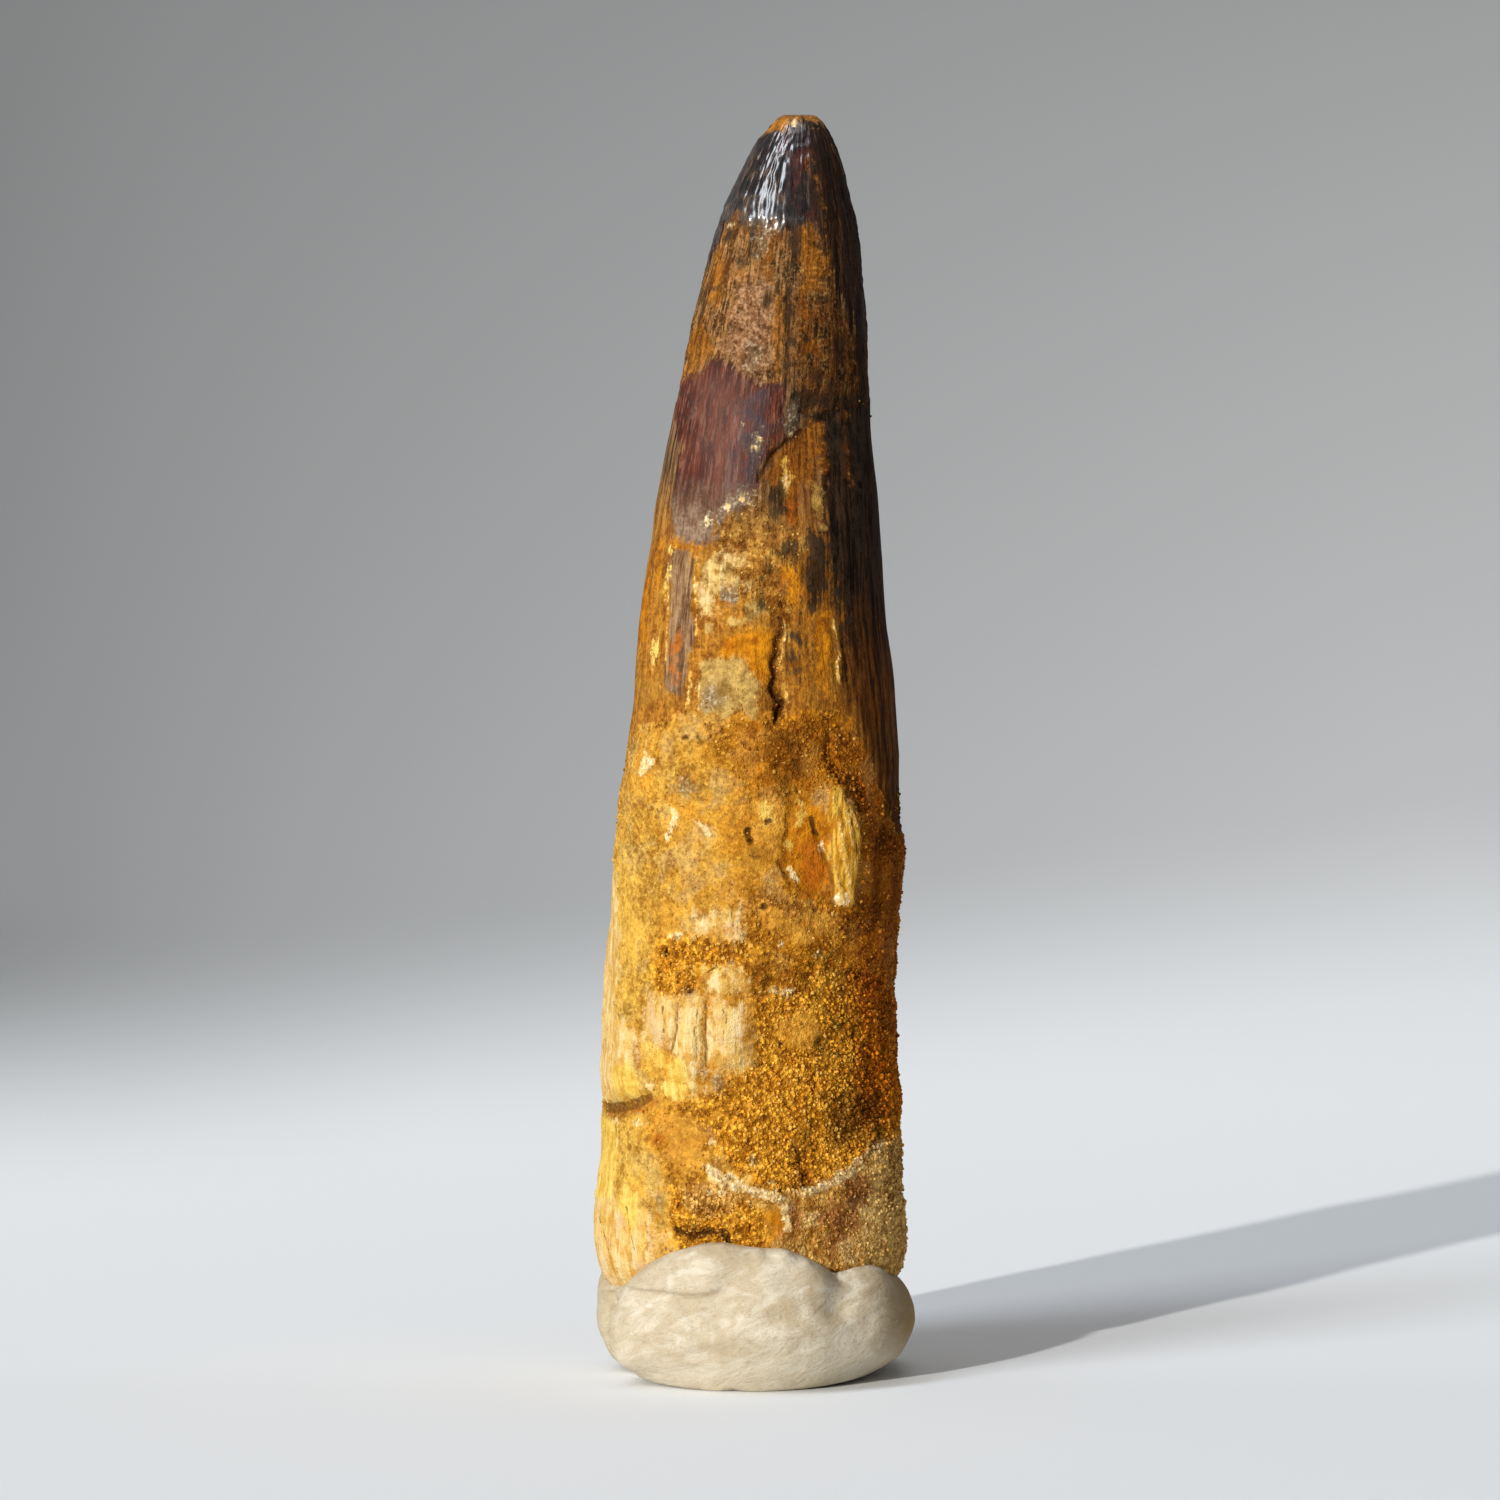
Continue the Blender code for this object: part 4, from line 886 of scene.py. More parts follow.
class Marks:
    """Every area, spot and line of the tooth, all in degrees and millimetres."""

    def __init__(self, skin):
        self.areas = [
            (name, proud, [skin.seen(pixel) for pixel in outline]) for name, proud, outline in FRONT_AREAS
        ]
        self.spots = [
            (name, proud, skin.seen((x, y)), half_width * PIXEL, half_height * PIXEL)
            for name, proud, rows in FRONT_SPOTS for x, y, half_width, half_height in rows
        ]
        self.spots += [
            (name, proud, (angle, height), half_width, half_height)
            for name, proud, rows in BACK_SPOTS for angle, height, half_width, half_height in rows
        ]
        self.lobes = [
            (proud, skin.seen(pixel), half_width * PIXEL, half_height * PIXEL)
            for proud, pixel, half_width, half_height in FRONT_LOBES
        ]
        self.lines = [
            (name, half_width, proud, [skin.seen(pixel) for pixel in route])
            for name, half_width, proud, route in FRONT_LINES
        ]
        self.lines += BACK_LINES

    def apply(self, angle, height, radius, points):
        """How deep each vertex lies inside each finish, and the relief of all marks together."""
        depths = {name: np.full(len(points), FAR_OUTSIDE) for name in FINISHES}
        relief = np.zeros(len(points))

        def add(name, near, depth, rise):
            depths[name][near] = np.maximum(depths[name][near], depth)
            relief[near] += rise

        sides = ((self.areas, WANDER, WANDER_SIZE), (BACK_AREAS, BACK_WANDER, BACK_WANDER_SIZE))
        for areas, wander, size in sides:
            places = Places(angle, height, radius, points, wander, size)
            for name, proud, outline in areas:
                near = places.near(outline)
                depth = places.inside(outline, near)
                add(name, near, depth, proud * smooth_step(*AREA_EDGE, depth))
        places = Places(angle, height, radius, points, SMALL_WANDER, SMALL_WANDER_SIZE)
        for name, proud, place, half_width, half_height in self.spots:
            near = places.near([place])
            depth = places.in_spot(place, half_width, half_height, near)
            add(name, near, depth, proud * smooth_step(*SPOT_EDGE, depth))
        for proud, place, half_width, half_height in self.lobes:
            near = places.near([place])
            depth = places.in_spot(place, half_width, half_height, near)
            relief[near] += proud * smooth_step(0.0, min(half_width, half_height), depth)
        for name, half_width, proud, route in self.lines:
            near = places.near(route)
            away = places.to_line(route, near)
            add(name, near, half_width - away, proud * (1 - smooth_step(*LINE_EDGE, away / half_width)))
        return {name: depth.clip(FAR_OUTSIDE, -FAR_OUTSIDE) for name, depth in depths.items()}, relief


def cover(depths, name, softness=0.4):
    """How fully a finish covers each vertex, from 0 to 1."""
    return smooth_step(-softness, softness, depths[name])


def most_of(depths, names, softness=0.4):
    """How fully any of several finishes covers each vertex."""
    return np.maximum.reduce([cover(depths, name, softness) for name in names])


def blank(name, skin, heights):
    """A closed, finely ringed shell on the tooth's form, between two heights."""
    bpy.ops.object.select_all(action="DESELECT")
    bpy.ops.mesh.primitive_uv_sphere_add(segments=AROUND, ring_count=RINGS, radius=1.0)
    shell = bpy.context.object
    shell.name = name
    ball = coordinates(shell) * MM
    share = np.arccos(np.clip(ball[:, 2], -1, 1)) / math.pi
    height = np.minimum(np.interp(share, *np.array(heights).T), skin.top - TOP_GAP)
    turn = np.arctan2(ball[:, 0], -ball[:, 1])
    points = np.column_stack((*skin.spine(height), height))
    for i in np.flatnonzero((share > POLE) & (share < 1 - POLE)):
        outward = Vector((math.sin(turn[i]), -math.cos(turn[i]), 0.0))
        hit = skin.surface.ray_cast(Vector(points[i] * MM), outward)[0]
        if hit is not None:
            points[i] = np.array(hit) / MM
    move_to(shell, points)
    bpy.ops.object.shade_smooth()
    return shell


class Shell:
    """One shell of the tooth with its relief and the values that its finish reads."""

    def __init__(self, name, skin, marks, heights, finish):
        self.piece = blank(name, skin, heights)
        points = coordinates(self.piece)
        angle, height, radius = skin.unwrap(points)
        turn = np.radians(angle)
        self.laid_out = np.column_stack((SKIN_RADIUS * np.sin(turn), -SKIN_RADIUS * np.cos(turn), height))
        self.depths, relief = marks.apply(angle, height, radius, points)
        self.tops = granules(points, GRANULE_SIZE, seed=5)
        patches = smooth_step(-0.35, 0.35, noise_on(points, PATCH_SIZE, 3, seed=70))
        patches = BETWEEN_PATCHES + (1 - BETWEEN_PATCHES) * patches
        self.granular = np.maximum.reduce([
            strength * cover(self.depths, name) * (patches if name in PATCHY else 1.0)
            for name, strength in GRANULAR.items()
        ])
        self.granular *= 1 - SMOOTHED_BY_BONE * most_of(self.depths, SMOOTH_BONE, 0.2)
        self.granular *= 1 - SMOOTHED_BY_PACKING * cover(self.depths, "packed")
        relief += self.texture(points)
        under_crust = self.depths["crust"] if name == "crown" else -self.depths["crust"]
        relief -= SINK * smooth_step(0.0, SINK_WIDTH, under_crust)
        relief *= smooth_step(*RELIEF_FADE, height)
        move_to(self.piece, points + normals(self.piece) * relief[:, None])
        for finish_name, depth in self.depths.items():
            give_values(self.piece.data, finish_name, depth)
        give_values(self.piece.data, "tops", 1 - self.granular * (1 - self.tops))
        give_values(self.piece.data, "granular", self.granular)
        give_values(self.piece.data, "grain", np.full(len(points), -1.0))
        give_places(self.piece.data, "laid_out", self.laid_out)
        self.piece.data.materials.append(finish)

    def texture(self, points):
        """Fine relief by finish, in millimetres."""
        bony = most_of(self.depths, SMOOTH_BONE + ("grey_bone",))
        crust = cover(self.depths, "crust")
        enamel = (1 - crust) * (1 - bony)
        worn = most_of(self.depths, ("worn_enamel", "pink_wear")) * enamel
        black = cover(self.depths, "black_enamel") * enamel
        lumpy = LUMPS_ON_ENAMEL + np.maximum(crust, self.granular)
        loose = most_of(self.depths, ("sand", "furrow", "grit"))
        texture = RIBS * noise_on(self.laid_out, RIB_SIZE, 2, stretch=12.0, seed=20) * enamel
        texture += FIBRES * noise_on(self.laid_out, FIBRE_SIZE, 3, stretch=7.0, seed=30) * bony
        texture += WEAR * noise_on(points, WEAR_SIZE, 3, stretch=2.0, seed=40) * worn
        texture += WRINKLES * noise_on(points, WRINKLE_SIZE, 2, stretch=2.4, seed=45) * black
        texture += GRANULES * (self.tops - GRANULE_LEVEL) * self.granular
        texture += LUMPS * noise_on(points, LUMP_SIZE, 4, seed=50) * lumpy
        texture += CLUMPS * noise_on(points, CLUMP_SIZE, 2, seed=55) * loose
        return texture


# Sand


def faces_of(piece, count):
    """The faces with that many corners, sorted, because a new ball's come in another order each time."""
    loops = [list(face.vertices) for face in piece.data.polygons if len(face.vertices) == count]
    starts = [loop.index(min(loop)) for loop in loops]
    return np.array(sorted(loop[start:] + loop[:start] for loop, start in zip(loops, starts)))


def grain_shapes(kind):
    """A few irregular grains of radius 1, as vertex arrays, with the faces that they share."""
    bpy.ops.object.select_all(action="DESELECT")
    if kind == "pebble":
        bpy.ops.mesh.primitive_ico_sphere_add(subdivisions=1, radius=1.0)
    else:
        bpy.ops.mesh.primitive_cone_add(vertices=4, radius1=1.0, depth=2.0, end_fill_type="TRIFAN")
    grain = bpy.context.object
    form = coordinates(grain) * MM
    if kind == "chip":
        # a pyramid whose rim is raised to its middle is a double pyramid
        rim = np.hypot(form[:, 0], form[:, 1]) > 0.5
        form[rim, 2] = 0.0
    faces = faces_of(grain, 3)
    bpy.data.objects.remove(grain)
    random = np.random.default_rng(11)
    shapes = [
        form * random.uniform(0.75, 1.15, (len(form), 1)) * random.uniform(0.7, 1.1, 3)
        for _ in range(GRAIN_SHAPES)
    ]
    return np.array(shapes), faces


def random_turns(random, count):
    """Evenly spread random rotations, as matrices."""
    w, x, y, z = random.normal(size=(4, count))
    length = np.sqrt(w * w + x * x + y * y + z * z)
    w, x, y, z = w / length, x / length, y / length, z / length
    return np.moveaxis(np.array([
        [1 - 2 * (y * y + z * z), 2 * (x * y - z * w), 2 * (x * z + y * w)],
        [2 * (x * y + z * w), 1 - 2 * (x * x + z * z), 2 * (y * z - x * w)],
        [2 * (x * z - y * w), 2 * (y * z + x * w), 1 - 2 * (x * x + y * y)],
    ]), 2, 0)


def scattered(name, shell, kind, radii, per_mm2, seed, finish):
    """Grains of sand half sunk in a shell, joined in one mesh, with the finish values of their place."""
    random = np.random.default_rng(seed)
    points = coordinates(shell.piece)
    depths = shell.depths
    quads = faces_of(shell.piece, 4)
    a, b, c, d = (points[quads[:, k]] for k in range(4))
    area = np.linalg.norm(np.cross(c - a, d - b), axis=1) / 2
    density = np.maximum.reduce([amount * cover(depths, which, 0.3) for which, amount in per_mm2.items()])
    density *= 1 - BARE * most_of(depths, SMOOTH_BONE + ("oxblood",), 0.2)
    density *= 1 - PACKED_BARE * cover(depths, "packed")
    crust = cover(depths, "crust", 0.1)
    hidden = crust if shell.piece.name == "crown" else 1 - crust
    density *= (points[:, 2] > GRAINS_ABOVE) * (1 - hidden)
    wanted = density[quads].mean(1) * area
    shapes, faces = grain_shapes(kind)
    count = min(MOST_TRIANGLES // len(faces), int(wanted.sum()))
    chosen = random.choice(len(quads), count, p=wanted / wanted.sum())
    s, t = random.random((2, count, 1))
    at = (a[chosen] * (1 - s) + b[chosen] * s) * (1 - t) + (d[chosen] * (1 - s) + c[chosen] * s) * t
    corner = quads[chosen, 0]
    radius = random.uniform(*radii, (count, 1))
    raised = radius * random.uniform(-GRAIN_SINK, 2 * GRAIN_SINK, (count, 1))
    at += normals(shell.piece)[corner] * raised
    turns = random_turns(random, count)
    corners = np.einsum("nij,nvj->nvi", turns, shapes[random.integers(GRAIN_SHAPES, size=count)])
    corners = corners * radius[:, None] + at[:, None]
    mesh = bpy.data.meshes.new(name)
    each = corners.shape[1]
    every_face = (faces[None] + each * np.arange(count)[:, None, None]).reshape(-1, 3)
    mesh.from_pydata((corners.reshape(-1, 3) * MM).tolist(), [], every_face.tolist())
    for which, depth in depths.items():
        give_values(mesh, which, np.repeat(depth[corner], each))
    give_values(mesh, "tops", np.ones(count * each))
    give_values(mesh, "granular", np.repeat(shell.granular[corner], each))
    give_values(mesh, "grain", np.repeat(random.random(count), each))
    give_places(mesh, "laid_out", np.repeat(shell.laid_out[corner], each, axis=0))
    mesh.materials.append(finish)
    grains = bpy.data.objects.new(name, mesh)
    bpy.context.scene.collection.objects.link(grains)
    return grains


# Putty


def make_putty(skin, finish):
    """The squashed lump, its lip pressed onto the tooth."""
    putty = smoothed_copy("putty_base", "putty", PUTTY_SUBDIVISIONS)
    fit_outline(putty, PUTTY_OUTLINE)
    surface = surface_of(putty)
    points = coordinates(putty)
    outward = normals(putty)
    relief = PUTTY_SWELL * noise_on(points, PUTTY_SWELL_SIZE, 3, seed=60)

    def pressed(pixel):
        """The place on the putty that the photograph shows at a pixel."""
        hit = surface.ray_cast(Vector(CAMERA_AT), photo_ray(*pixel))[0]
        return None if hit is None else np.array(hit) / MM

    for half_width, depth, route in PUTTY_FOLDS:
        hits = [hit for hit in map(pressed, route) if hit is not None]
        away = np.full(len(points), np.inf)
        for start, end in zip(hits, hits[1:]):
            along = end - start
            share = np.clip((points - start) @ along / (along @ along), 0, 1)
            away = np.minimum(away, np.linalg.norm(points - start - share[:, None] * along, axis=1))
        relief -= depth * (1 - smooth_step(0.0, FOLD_FADE, away / half_width))
    across, down = photo_pixel(points * MM)
    for step, reach, route in PUTTY_FLAPS:
        row = np.interp(across, *np.array(route).T)
        ends = smooth_step(*(route[0][0] + np.array(FLAP_START)), across)
        ends *= smooth_step(*(route[-1][0] + np.array(FLAP_STOP)), across)
        edge = 2 * smooth_step(FLAP_STEP, -FLAP_STEP, down - row) - 1
        relief += step * edge * np.exp(-abs(down - row) / reach) * ends * (outward[:, 1] < 0)
    for height, pixel, radius in PUTTY_LUMPS:
        middle = pressed(pixel)
        if middle is not None:
            away = np.linalg.norm(points - middle, axis=1)
            relief += height * (1 - smooth_step(0.0, LUMP_FADE * radius, away))
    points += outward * (relief * smooth_step(*PUTTY_RISE, points[:, 2]))[:, None]
    for i, point in enumerate(points):
        _, normal, _, away = skin.surface.find_nearest(Vector(point * MM))
        pull = 1 - smooth_step(*LIP_REACH, away / MM)
        if pull > 0:
            points[i] -= np.array(normal) * pull * (away / MM + LIP_BITE)
    move_to(putty, points)
    putty.data.materials.append(finish)
    return putty


# Finishes


class Value:
    """The value on a socket. Sums on it add Math nodes to its material."""

    def __init__(self, finish, socket):
        self.finish = finish
        self.socket = socket

    def __add__(self, other):
        return self.finish.maths("ADD", self, other)

    __radd__ = __add__

    def __mul__(self, other):
        return self.finish.maths("MULTIPLY", self, other)

    __rmul__ = __mul__

    def __sub__(self, other):
        return self.finish.maths("SUBTRACT", self, other)

    def __rsub__(self, other):
        return self.finish.maths("SUBTRACT", other, self)

    def at_least(self, other):
        """The larger of the two."""
        return self.finish.maths("MAXIMUM", self, other)


class Finish:
    """A material under construction."""

    def __init__(self, name, **fixed):
        self.material = bpy.data.materials.new(name)
        self.material.use_nodes = True
        self.tree = self.material.node_tree
        self.shader = self.tree.nodes["Principled BSDF"]
        for socket, number in fixed.items():
            self.shader.inputs[socket.replace("_", " ")].default_value = number
        self.place = Value(self, self.node("TexCoord").outputs["Object"])

    def node(self, kind, settings=None, inputs=None):
        """Any node: its settings are set first, then its sockets are given their values or links."""
        made = self.tree.nodes.new("ShaderNode" + kind)
        for setting, value in (settings or {}).items():
            setattr(made, setting, value)
        for socket, value in (inputs or {}).items():
            if isinstance(value, Value):
                self.tree.links.new(value.socket, made.inputs[socket])
            else:
                made.inputs[socket].default_value = value
        return made

    def maths(self, operation, *values):
        """One Math node on numbers and values."""
        made = self.node("Math", {"operation": operation}, dict(enumerate(values)))
        return Value(self, made.outputs[0])

    def noise(self, size, detail=3.0, stretch=1.0, roughness=0.5, distortion=0.0, on=None):
        """Noise from 0 to 1 in lumps of that size in millimetres, drawn out along the height."""
        rate = 1 / (size * MM)
        scale = {0: on or self.place, 1: (rate, rate, rate / stretch)}
        spread = self.node("VectorMath", {"operation": "MULTIPLY"}, scale)
        inputs = {
            "Vector": Value(self, spread.outputs[0]), "Scale": 1.0, "Detail": detail,
            "Roughness": roughness, "Distortion": distortion,
        }
        return Value(self, self.node("TexNoise", {}, inputs).outputs["Fac"])

    def cells(self, size):
        """Distance to the nearest of scattered points that lie about that many millimetres apart."""
        made = self.node("TexVoronoi", {}, {"Vector": self.place, "Scale": 1 / (size * MM)})
        return Value(self, made.outputs["Distance"])

    def parts(self, vector):
        """The three numbers of a vector."""
        return [Value(self, output) for output in self.node("SeparateXYZ", {}, {0: vector}).outputs]

    def stored(self, name, output="Fac"):
        """The mesh's own values under that name."""
        return Value(self, self.node("Attribute", {"attribute_name": name}).outputs[output])

    def ramp(self, value, low, high):
        """0 where the value is below low, 1 above high, and a smooth rise between."""
        inputs = {"Value": value, "From Min": low, "From Max": high}
        made = self.node("MapRange", {"interpolation_type": "SMOOTHSTEP"}, inputs)
        return Value(self, made.outputs["Result"])

    def zone(self, value, limits):
        """A ramp between two places that are given in millimetres."""
        return self.ramp(value, *(limit * MM for limit in limits))

    def mix(self, share, first, second, blend="MIX"):
        """The first colour, and the second one where the share is 1."""
        first, second = (c if isinstance(c, Value) else (*c, 1.0) for c in (first, second))
        settings = {"data_type": "RGBA", "blend_type": blend}
        return Value(self, self.node("Mix", settings, {0: share, 6: first, 7: second}).outputs[2])

    def layered(self, colour, *layers):
        """A colour with others laid over it in turn, each as far as its share says."""
        for share, over in layers:
            colour = self.mix(share, colour, over)
        return colour

    def bump(self, height, depth):
        """A surface normal with that relief, its depth in millimetres."""
        inputs = {"Height": height, "Distance": depth * MM, "Strength": 1.0}
        return Value(self, self.node("Bump", {}, inputs).outputs["Normal"])

    def feed(self, **inputs):
        """Links values to the shader's sockets."""
        for socket, value in inputs.items():
            self.tree.links.new(value.socket, self.shader.inputs[socket.replace("_", " ")])


class Fossil(Finish):
    """Enamel, bone, crust and sand: one coat over another, each where its attribute says."""

    def __init__(self):
        super().__init__("fossil", Coat_Roughness=0.23, Coat_IOR=2.1, Specular_IOR_Level=0.06)
        self.across, _, self.height = self.parts(self.place)
        skin = self.stored("laid_out", "Vector")
        # the shaded side, down which painted shade darkens the crust
        self.shaded = self.zone(self.parts(skin)[0], SHADED_SIDE)
        self.right = self.zone(self.across, RIGHT_HALF)
        self.far_right = self.zone(self.across, FAR_RIGHT)
        # the right edge, with painted shade on worn enamel and sand, and partly painted light on the pale
        # rim
        self.edge = self.zone(self.across, RIGHT_EDGE)
        self.left = self.zone(self.across, LEFT_EDGE) * self.zone(self.height, LOW_BONE)
        self.speckle = self.noise(0.26, 2)
        self.crumb = self.noise(0.60, 3, roughness=0.68)
        self.mottle = self.noise(1.3, 4, roughness=0.66)
        self.patch = self.noise(2.4, 3)
        self.blotch = self.noise(4.6, 3)
        self.cloud = self.noise(3.2, 3, roughness=0.6, distortion=0.6)
        self.streak = self.noise(0.38, 3, stretch=10, roughness=0.64, on=skin)
        self.hair = self.noise(0.17, 1, stretch=10, on=skin)
        self.fibre = self.noise(0.32, 2, stretch=5, roughness=0.66, on=skin)
        self.wrinkle = self.noise(0.28, 1, stretch=1.8, roughness=0.6)
        self.dust = self.noise(0.13, 1)
        self.pebble = self.ramp(self.cells(0.42), 0.62, 0.12)
        self.light = self.ramp(self.mottle, 0.38, 0.62)
        self.dark = self.ramp(self.streak, 0.38, 0.62)
        self.fleck = self.ramp(self.speckle, 0.50, 0.68)
        self.drop = self.ramp(self.speckle, 0.46, 0.32)
        self.granular = self.stored("granular")
        self.grain = self.stored("grain")
        self.ragged = (self.mottle - 0.5) * 2.6 + (self.crumb - 0.5) * 1.4 + (self.speckle - 0.5) * 0.5
        self.streaky = (self.streak - 0.5) * 2.6
        self.crusted = self.covered("crust", 0.35, 0.9, 0.3)
        self.sandy = self.covered("sand", 0.5)
        self.neck()
        self.crown()
        self.crust()
        self.bone()
        self.stains()
        self.grains()
        self.surface()

    def covered(self, name, softness=0.12, rough=1.0, streaks=0.4):
        """The share of a finish, with ragged and streaky edges."""
        depth = self.stored(name) + self.ragged * rough + self.streaky * streaks
        return self.ramp(depth, -softness, softness)

    def coat(self, share, colour):
        """Lays a colour over all coats so far."""
        self.colour = self.mix(share, self.colour, colour)

    def tint(self, share, colour):
        """Multiplies all coats so far by a colour."""
        self.colour = self.mix(share, self.colour, colour, "MULTIPLY")

    def neck(self):
        """Ochre bone with brown streaks, darker towards the crown and on the right."""
        self.colour = self.layered(
            self.mix(self.light, (0.22, 0.074, 0.008), (0.44, 0.18, 0.020)),
            (self.ramp(self.streak, 0.52, 0.64) * 0.6, (0.15, 0.050, 0.008)),
            (self.ramp(self.streak, 0.46, 0.38) * 0.5, (0.54, 0.26, 0.035)),
            (self.ramp(self.blotch, 0.54, 0.70) * 0.4, (0.46, 0.24, 0.035)),
            (self.right * 0.45, (0.20, 0.062, 0.004)),
            (self.fleck * 0.35, (0.60, 0.25, 0.025)),
            (self.drop * 0.45, (0.13, 0.045, 0.006)),
        )
        self.coat(self.covered("grit", 0.5) * 0.85, self.layered(
            self.mix(self.light, (0.29, 0.106, 0.015), (0.56, 0.280, 0.046)),
            (self.ramp(self.crumb, 0.58, 0.68) * 0.6, (0.82, 0.54, 0.130)),
            (self.ramp(self.crumb, 0.44, 0.36) * 0.7, (0.090, 0.036, 0.009)),
        ))
        brown = self.mix(self.dark, (0.24, 0.125, 0.050), (0.045, 0.026, 0.016))
        self.coat(self.zone(self.height, BROWN_NECK), brown)
        near_dark = self.stored("dark_bone") + self.ragged * 1.6 + self.streaky * 1.6
        self.coat(self.ramp(near_dark, -1.5, 0.4) * 0.60, (0.13, 0.046, 0.008))
        wavering = self.height + (self.mottle - 0.5) * (12 * MM)
        self.coat(self.covered("dark_bone", 0.7, 1.2, 1.3), self.mix(
            self.zone(wavering, LIGHTER_DARK_BONE),
            self.mix(self.dark, (0.042, 0.021, 0.010), (0.006, 0.0030, 0.0014)),
            self.mix(self.dark, (0.150, 0.046, 0.005), (0.036, 0.012, 0.003)),
        ))

    def crown(self):
        """Worn, pink, oxblood and black enamel, the broken tip, amber and grey bone."""
        crumbly = self.layered(
            self.mix(self.light, (0.032, 0.012, 0.004), (0.130, 0.044, 0.008)),
            (self.ramp(self.crumb, 0.56, 0.66) * 0.7, (0.28, 0.145, 0.038)),
        )
        self.coat(self.covered("worn_enamel", 0.25, 0.7, 1.2), self.layered(
            self.mix(self.dark, (0.34, 0.145, 0.036), (0.115, 0.055, 0.021)),
            (self.ramp(self.patch, 0.52, 0.62) * 0.55, (0.33, 0.112, 0.016)),
            (self.ramp(self.patch, 0.46, 0.38) * 0.55, (0.25, 0.150, 0.055)),
            (self.ramp(self.fibre, 0.50, 0.62) * 0.5, (0.42, 0.225, 0.080)),
            (self.ramp(self.mottle, 0.50, 0.60) * 0.70, (0.030, 0.018, 0.011)),
            (self.right * 0.75, crumbly),
            (self.ramp(self.fibre + self.mottle, 0.98, 0.88) * 0.8, (0.010, 0.007, 0.005)),
            (self.fleck * 0.3, (0.50, 0.29, 0.12)),
            # painted shade at the right edge of the worn enamel
            (self.edge * 0.8, (0.020, 0.010, 0.005)),
        ))
        pink = self.ramp(self.speckle + self.mottle, 0.84, 1.18)
        self.coat(self.covered("pink_wear", 0.7, 1.2, 0.8) * 0.85, self.layered(
            self.mix(pink, (0.19, 0.080, 0.032), (0.43, 0.25, 0.13)),
            (self.ramp(self.crumb, 0.48, 0.38) * 0.7, (0.050, 0.026, 0.016)),
        ))
        scuffs = self.ramp(self.hair + self.speckle, 0.86, 1.12)
        greyed = self.zone(self.height, GREYED_OXBLOOD) * (0.45 + scuffs * 0.45)
        self.oxblood_share = self.covered("oxblood", 0.16, 0.6, 1.2)
        self.coat(self.oxblood_share, self.layered(
            self.mix(self.dark, (0.145, 0.042, 0.023), (0.046, 0.013, 0.009)),
            (self.ramp(self.hair, 0.50, 0.62) * 0.5, (0.060, 0.017, 0.012)),
            (self.ramp(self.fibre, 0.52, 0.62) * 0.40, (0.25, 0.125, 0.085)),
            (self.ramp(self.mottle, 0.52, 0.60) * 0.5, (0.024, 0.016, 0.017)),
            # painted highlight on the oxblood enamel
            (self.covered("painted_sheen", 2.0, 0.8) * 0.22, (0.23, 0.125, 0.098)),
            (self.covered("slate", 0.6, 0.8) * 0.75, (0.060, 0.046, 0.050)),
            (greyed, self.mix(self.light, (0.16, 0.095, 0.055), (0.31, 0.205, 0.125))),
        ))
        self.black_share = self.covered("black_enamel", 0.14, 0.6, 1.2)
        self.coat(self.black_share, self.layered(
            self.mix(self.ramp(self.hair, 0.50, 0.66), (0.0020, 0.0010, 0.0010), (0.040, 0.009, 0.006)),
            # painted reflection: grey-blue colour low on the black enamel
            (self.zone(self.height, BLACK_PAINTED_REFLECTION) * self.light * 0.5, (0.070, 0.062, 0.058)),
            (self.ramp(self.hair + self.mottle, 1.12, 1.20) * 0.7, (0.18, 0.095, 0.040)),
            (self.far_right, self.mix(self.dark, (0.036, 0.017, 0.008), (0.012, 0.005, 0.003))),
        ))
        self.coat(self.covered("maroon", 0.4, 1.0, 0.8) * 0.7, (0.055, 0.006, 0.003))
        broken = self.ramp(self.height * (1 / MM) + self.ragged * 0.9, *BROKEN_TIP)
        self.coat(broken, self.mix(self.fleck, (0.30, 0.115, 0.020), (0.58, 0.32, 0.09)))
        self.coat(self.covered("amber", 0.30, 0.9, 1.4) * 0.85, self.layered(
            self.mix(self.dark, (0.32, 0.108, 0.009), (0.11, 0.036, 0.005)),
            (self.fleck * 0.5, (0.48, 0.205, 0.022)),
        ))
        self.coat(self.covered("grey_bone", 0.14, 0.3, 0.7), self.layered(
            self.mix(self.dark, (0.31, 0.175, 0.080), (0.11, 0.050, 0.020)),
            (self.ramp(self.hair, 0.52, 0.66) * 0.5, (0.38, 0.25, 0.14)),
        ))

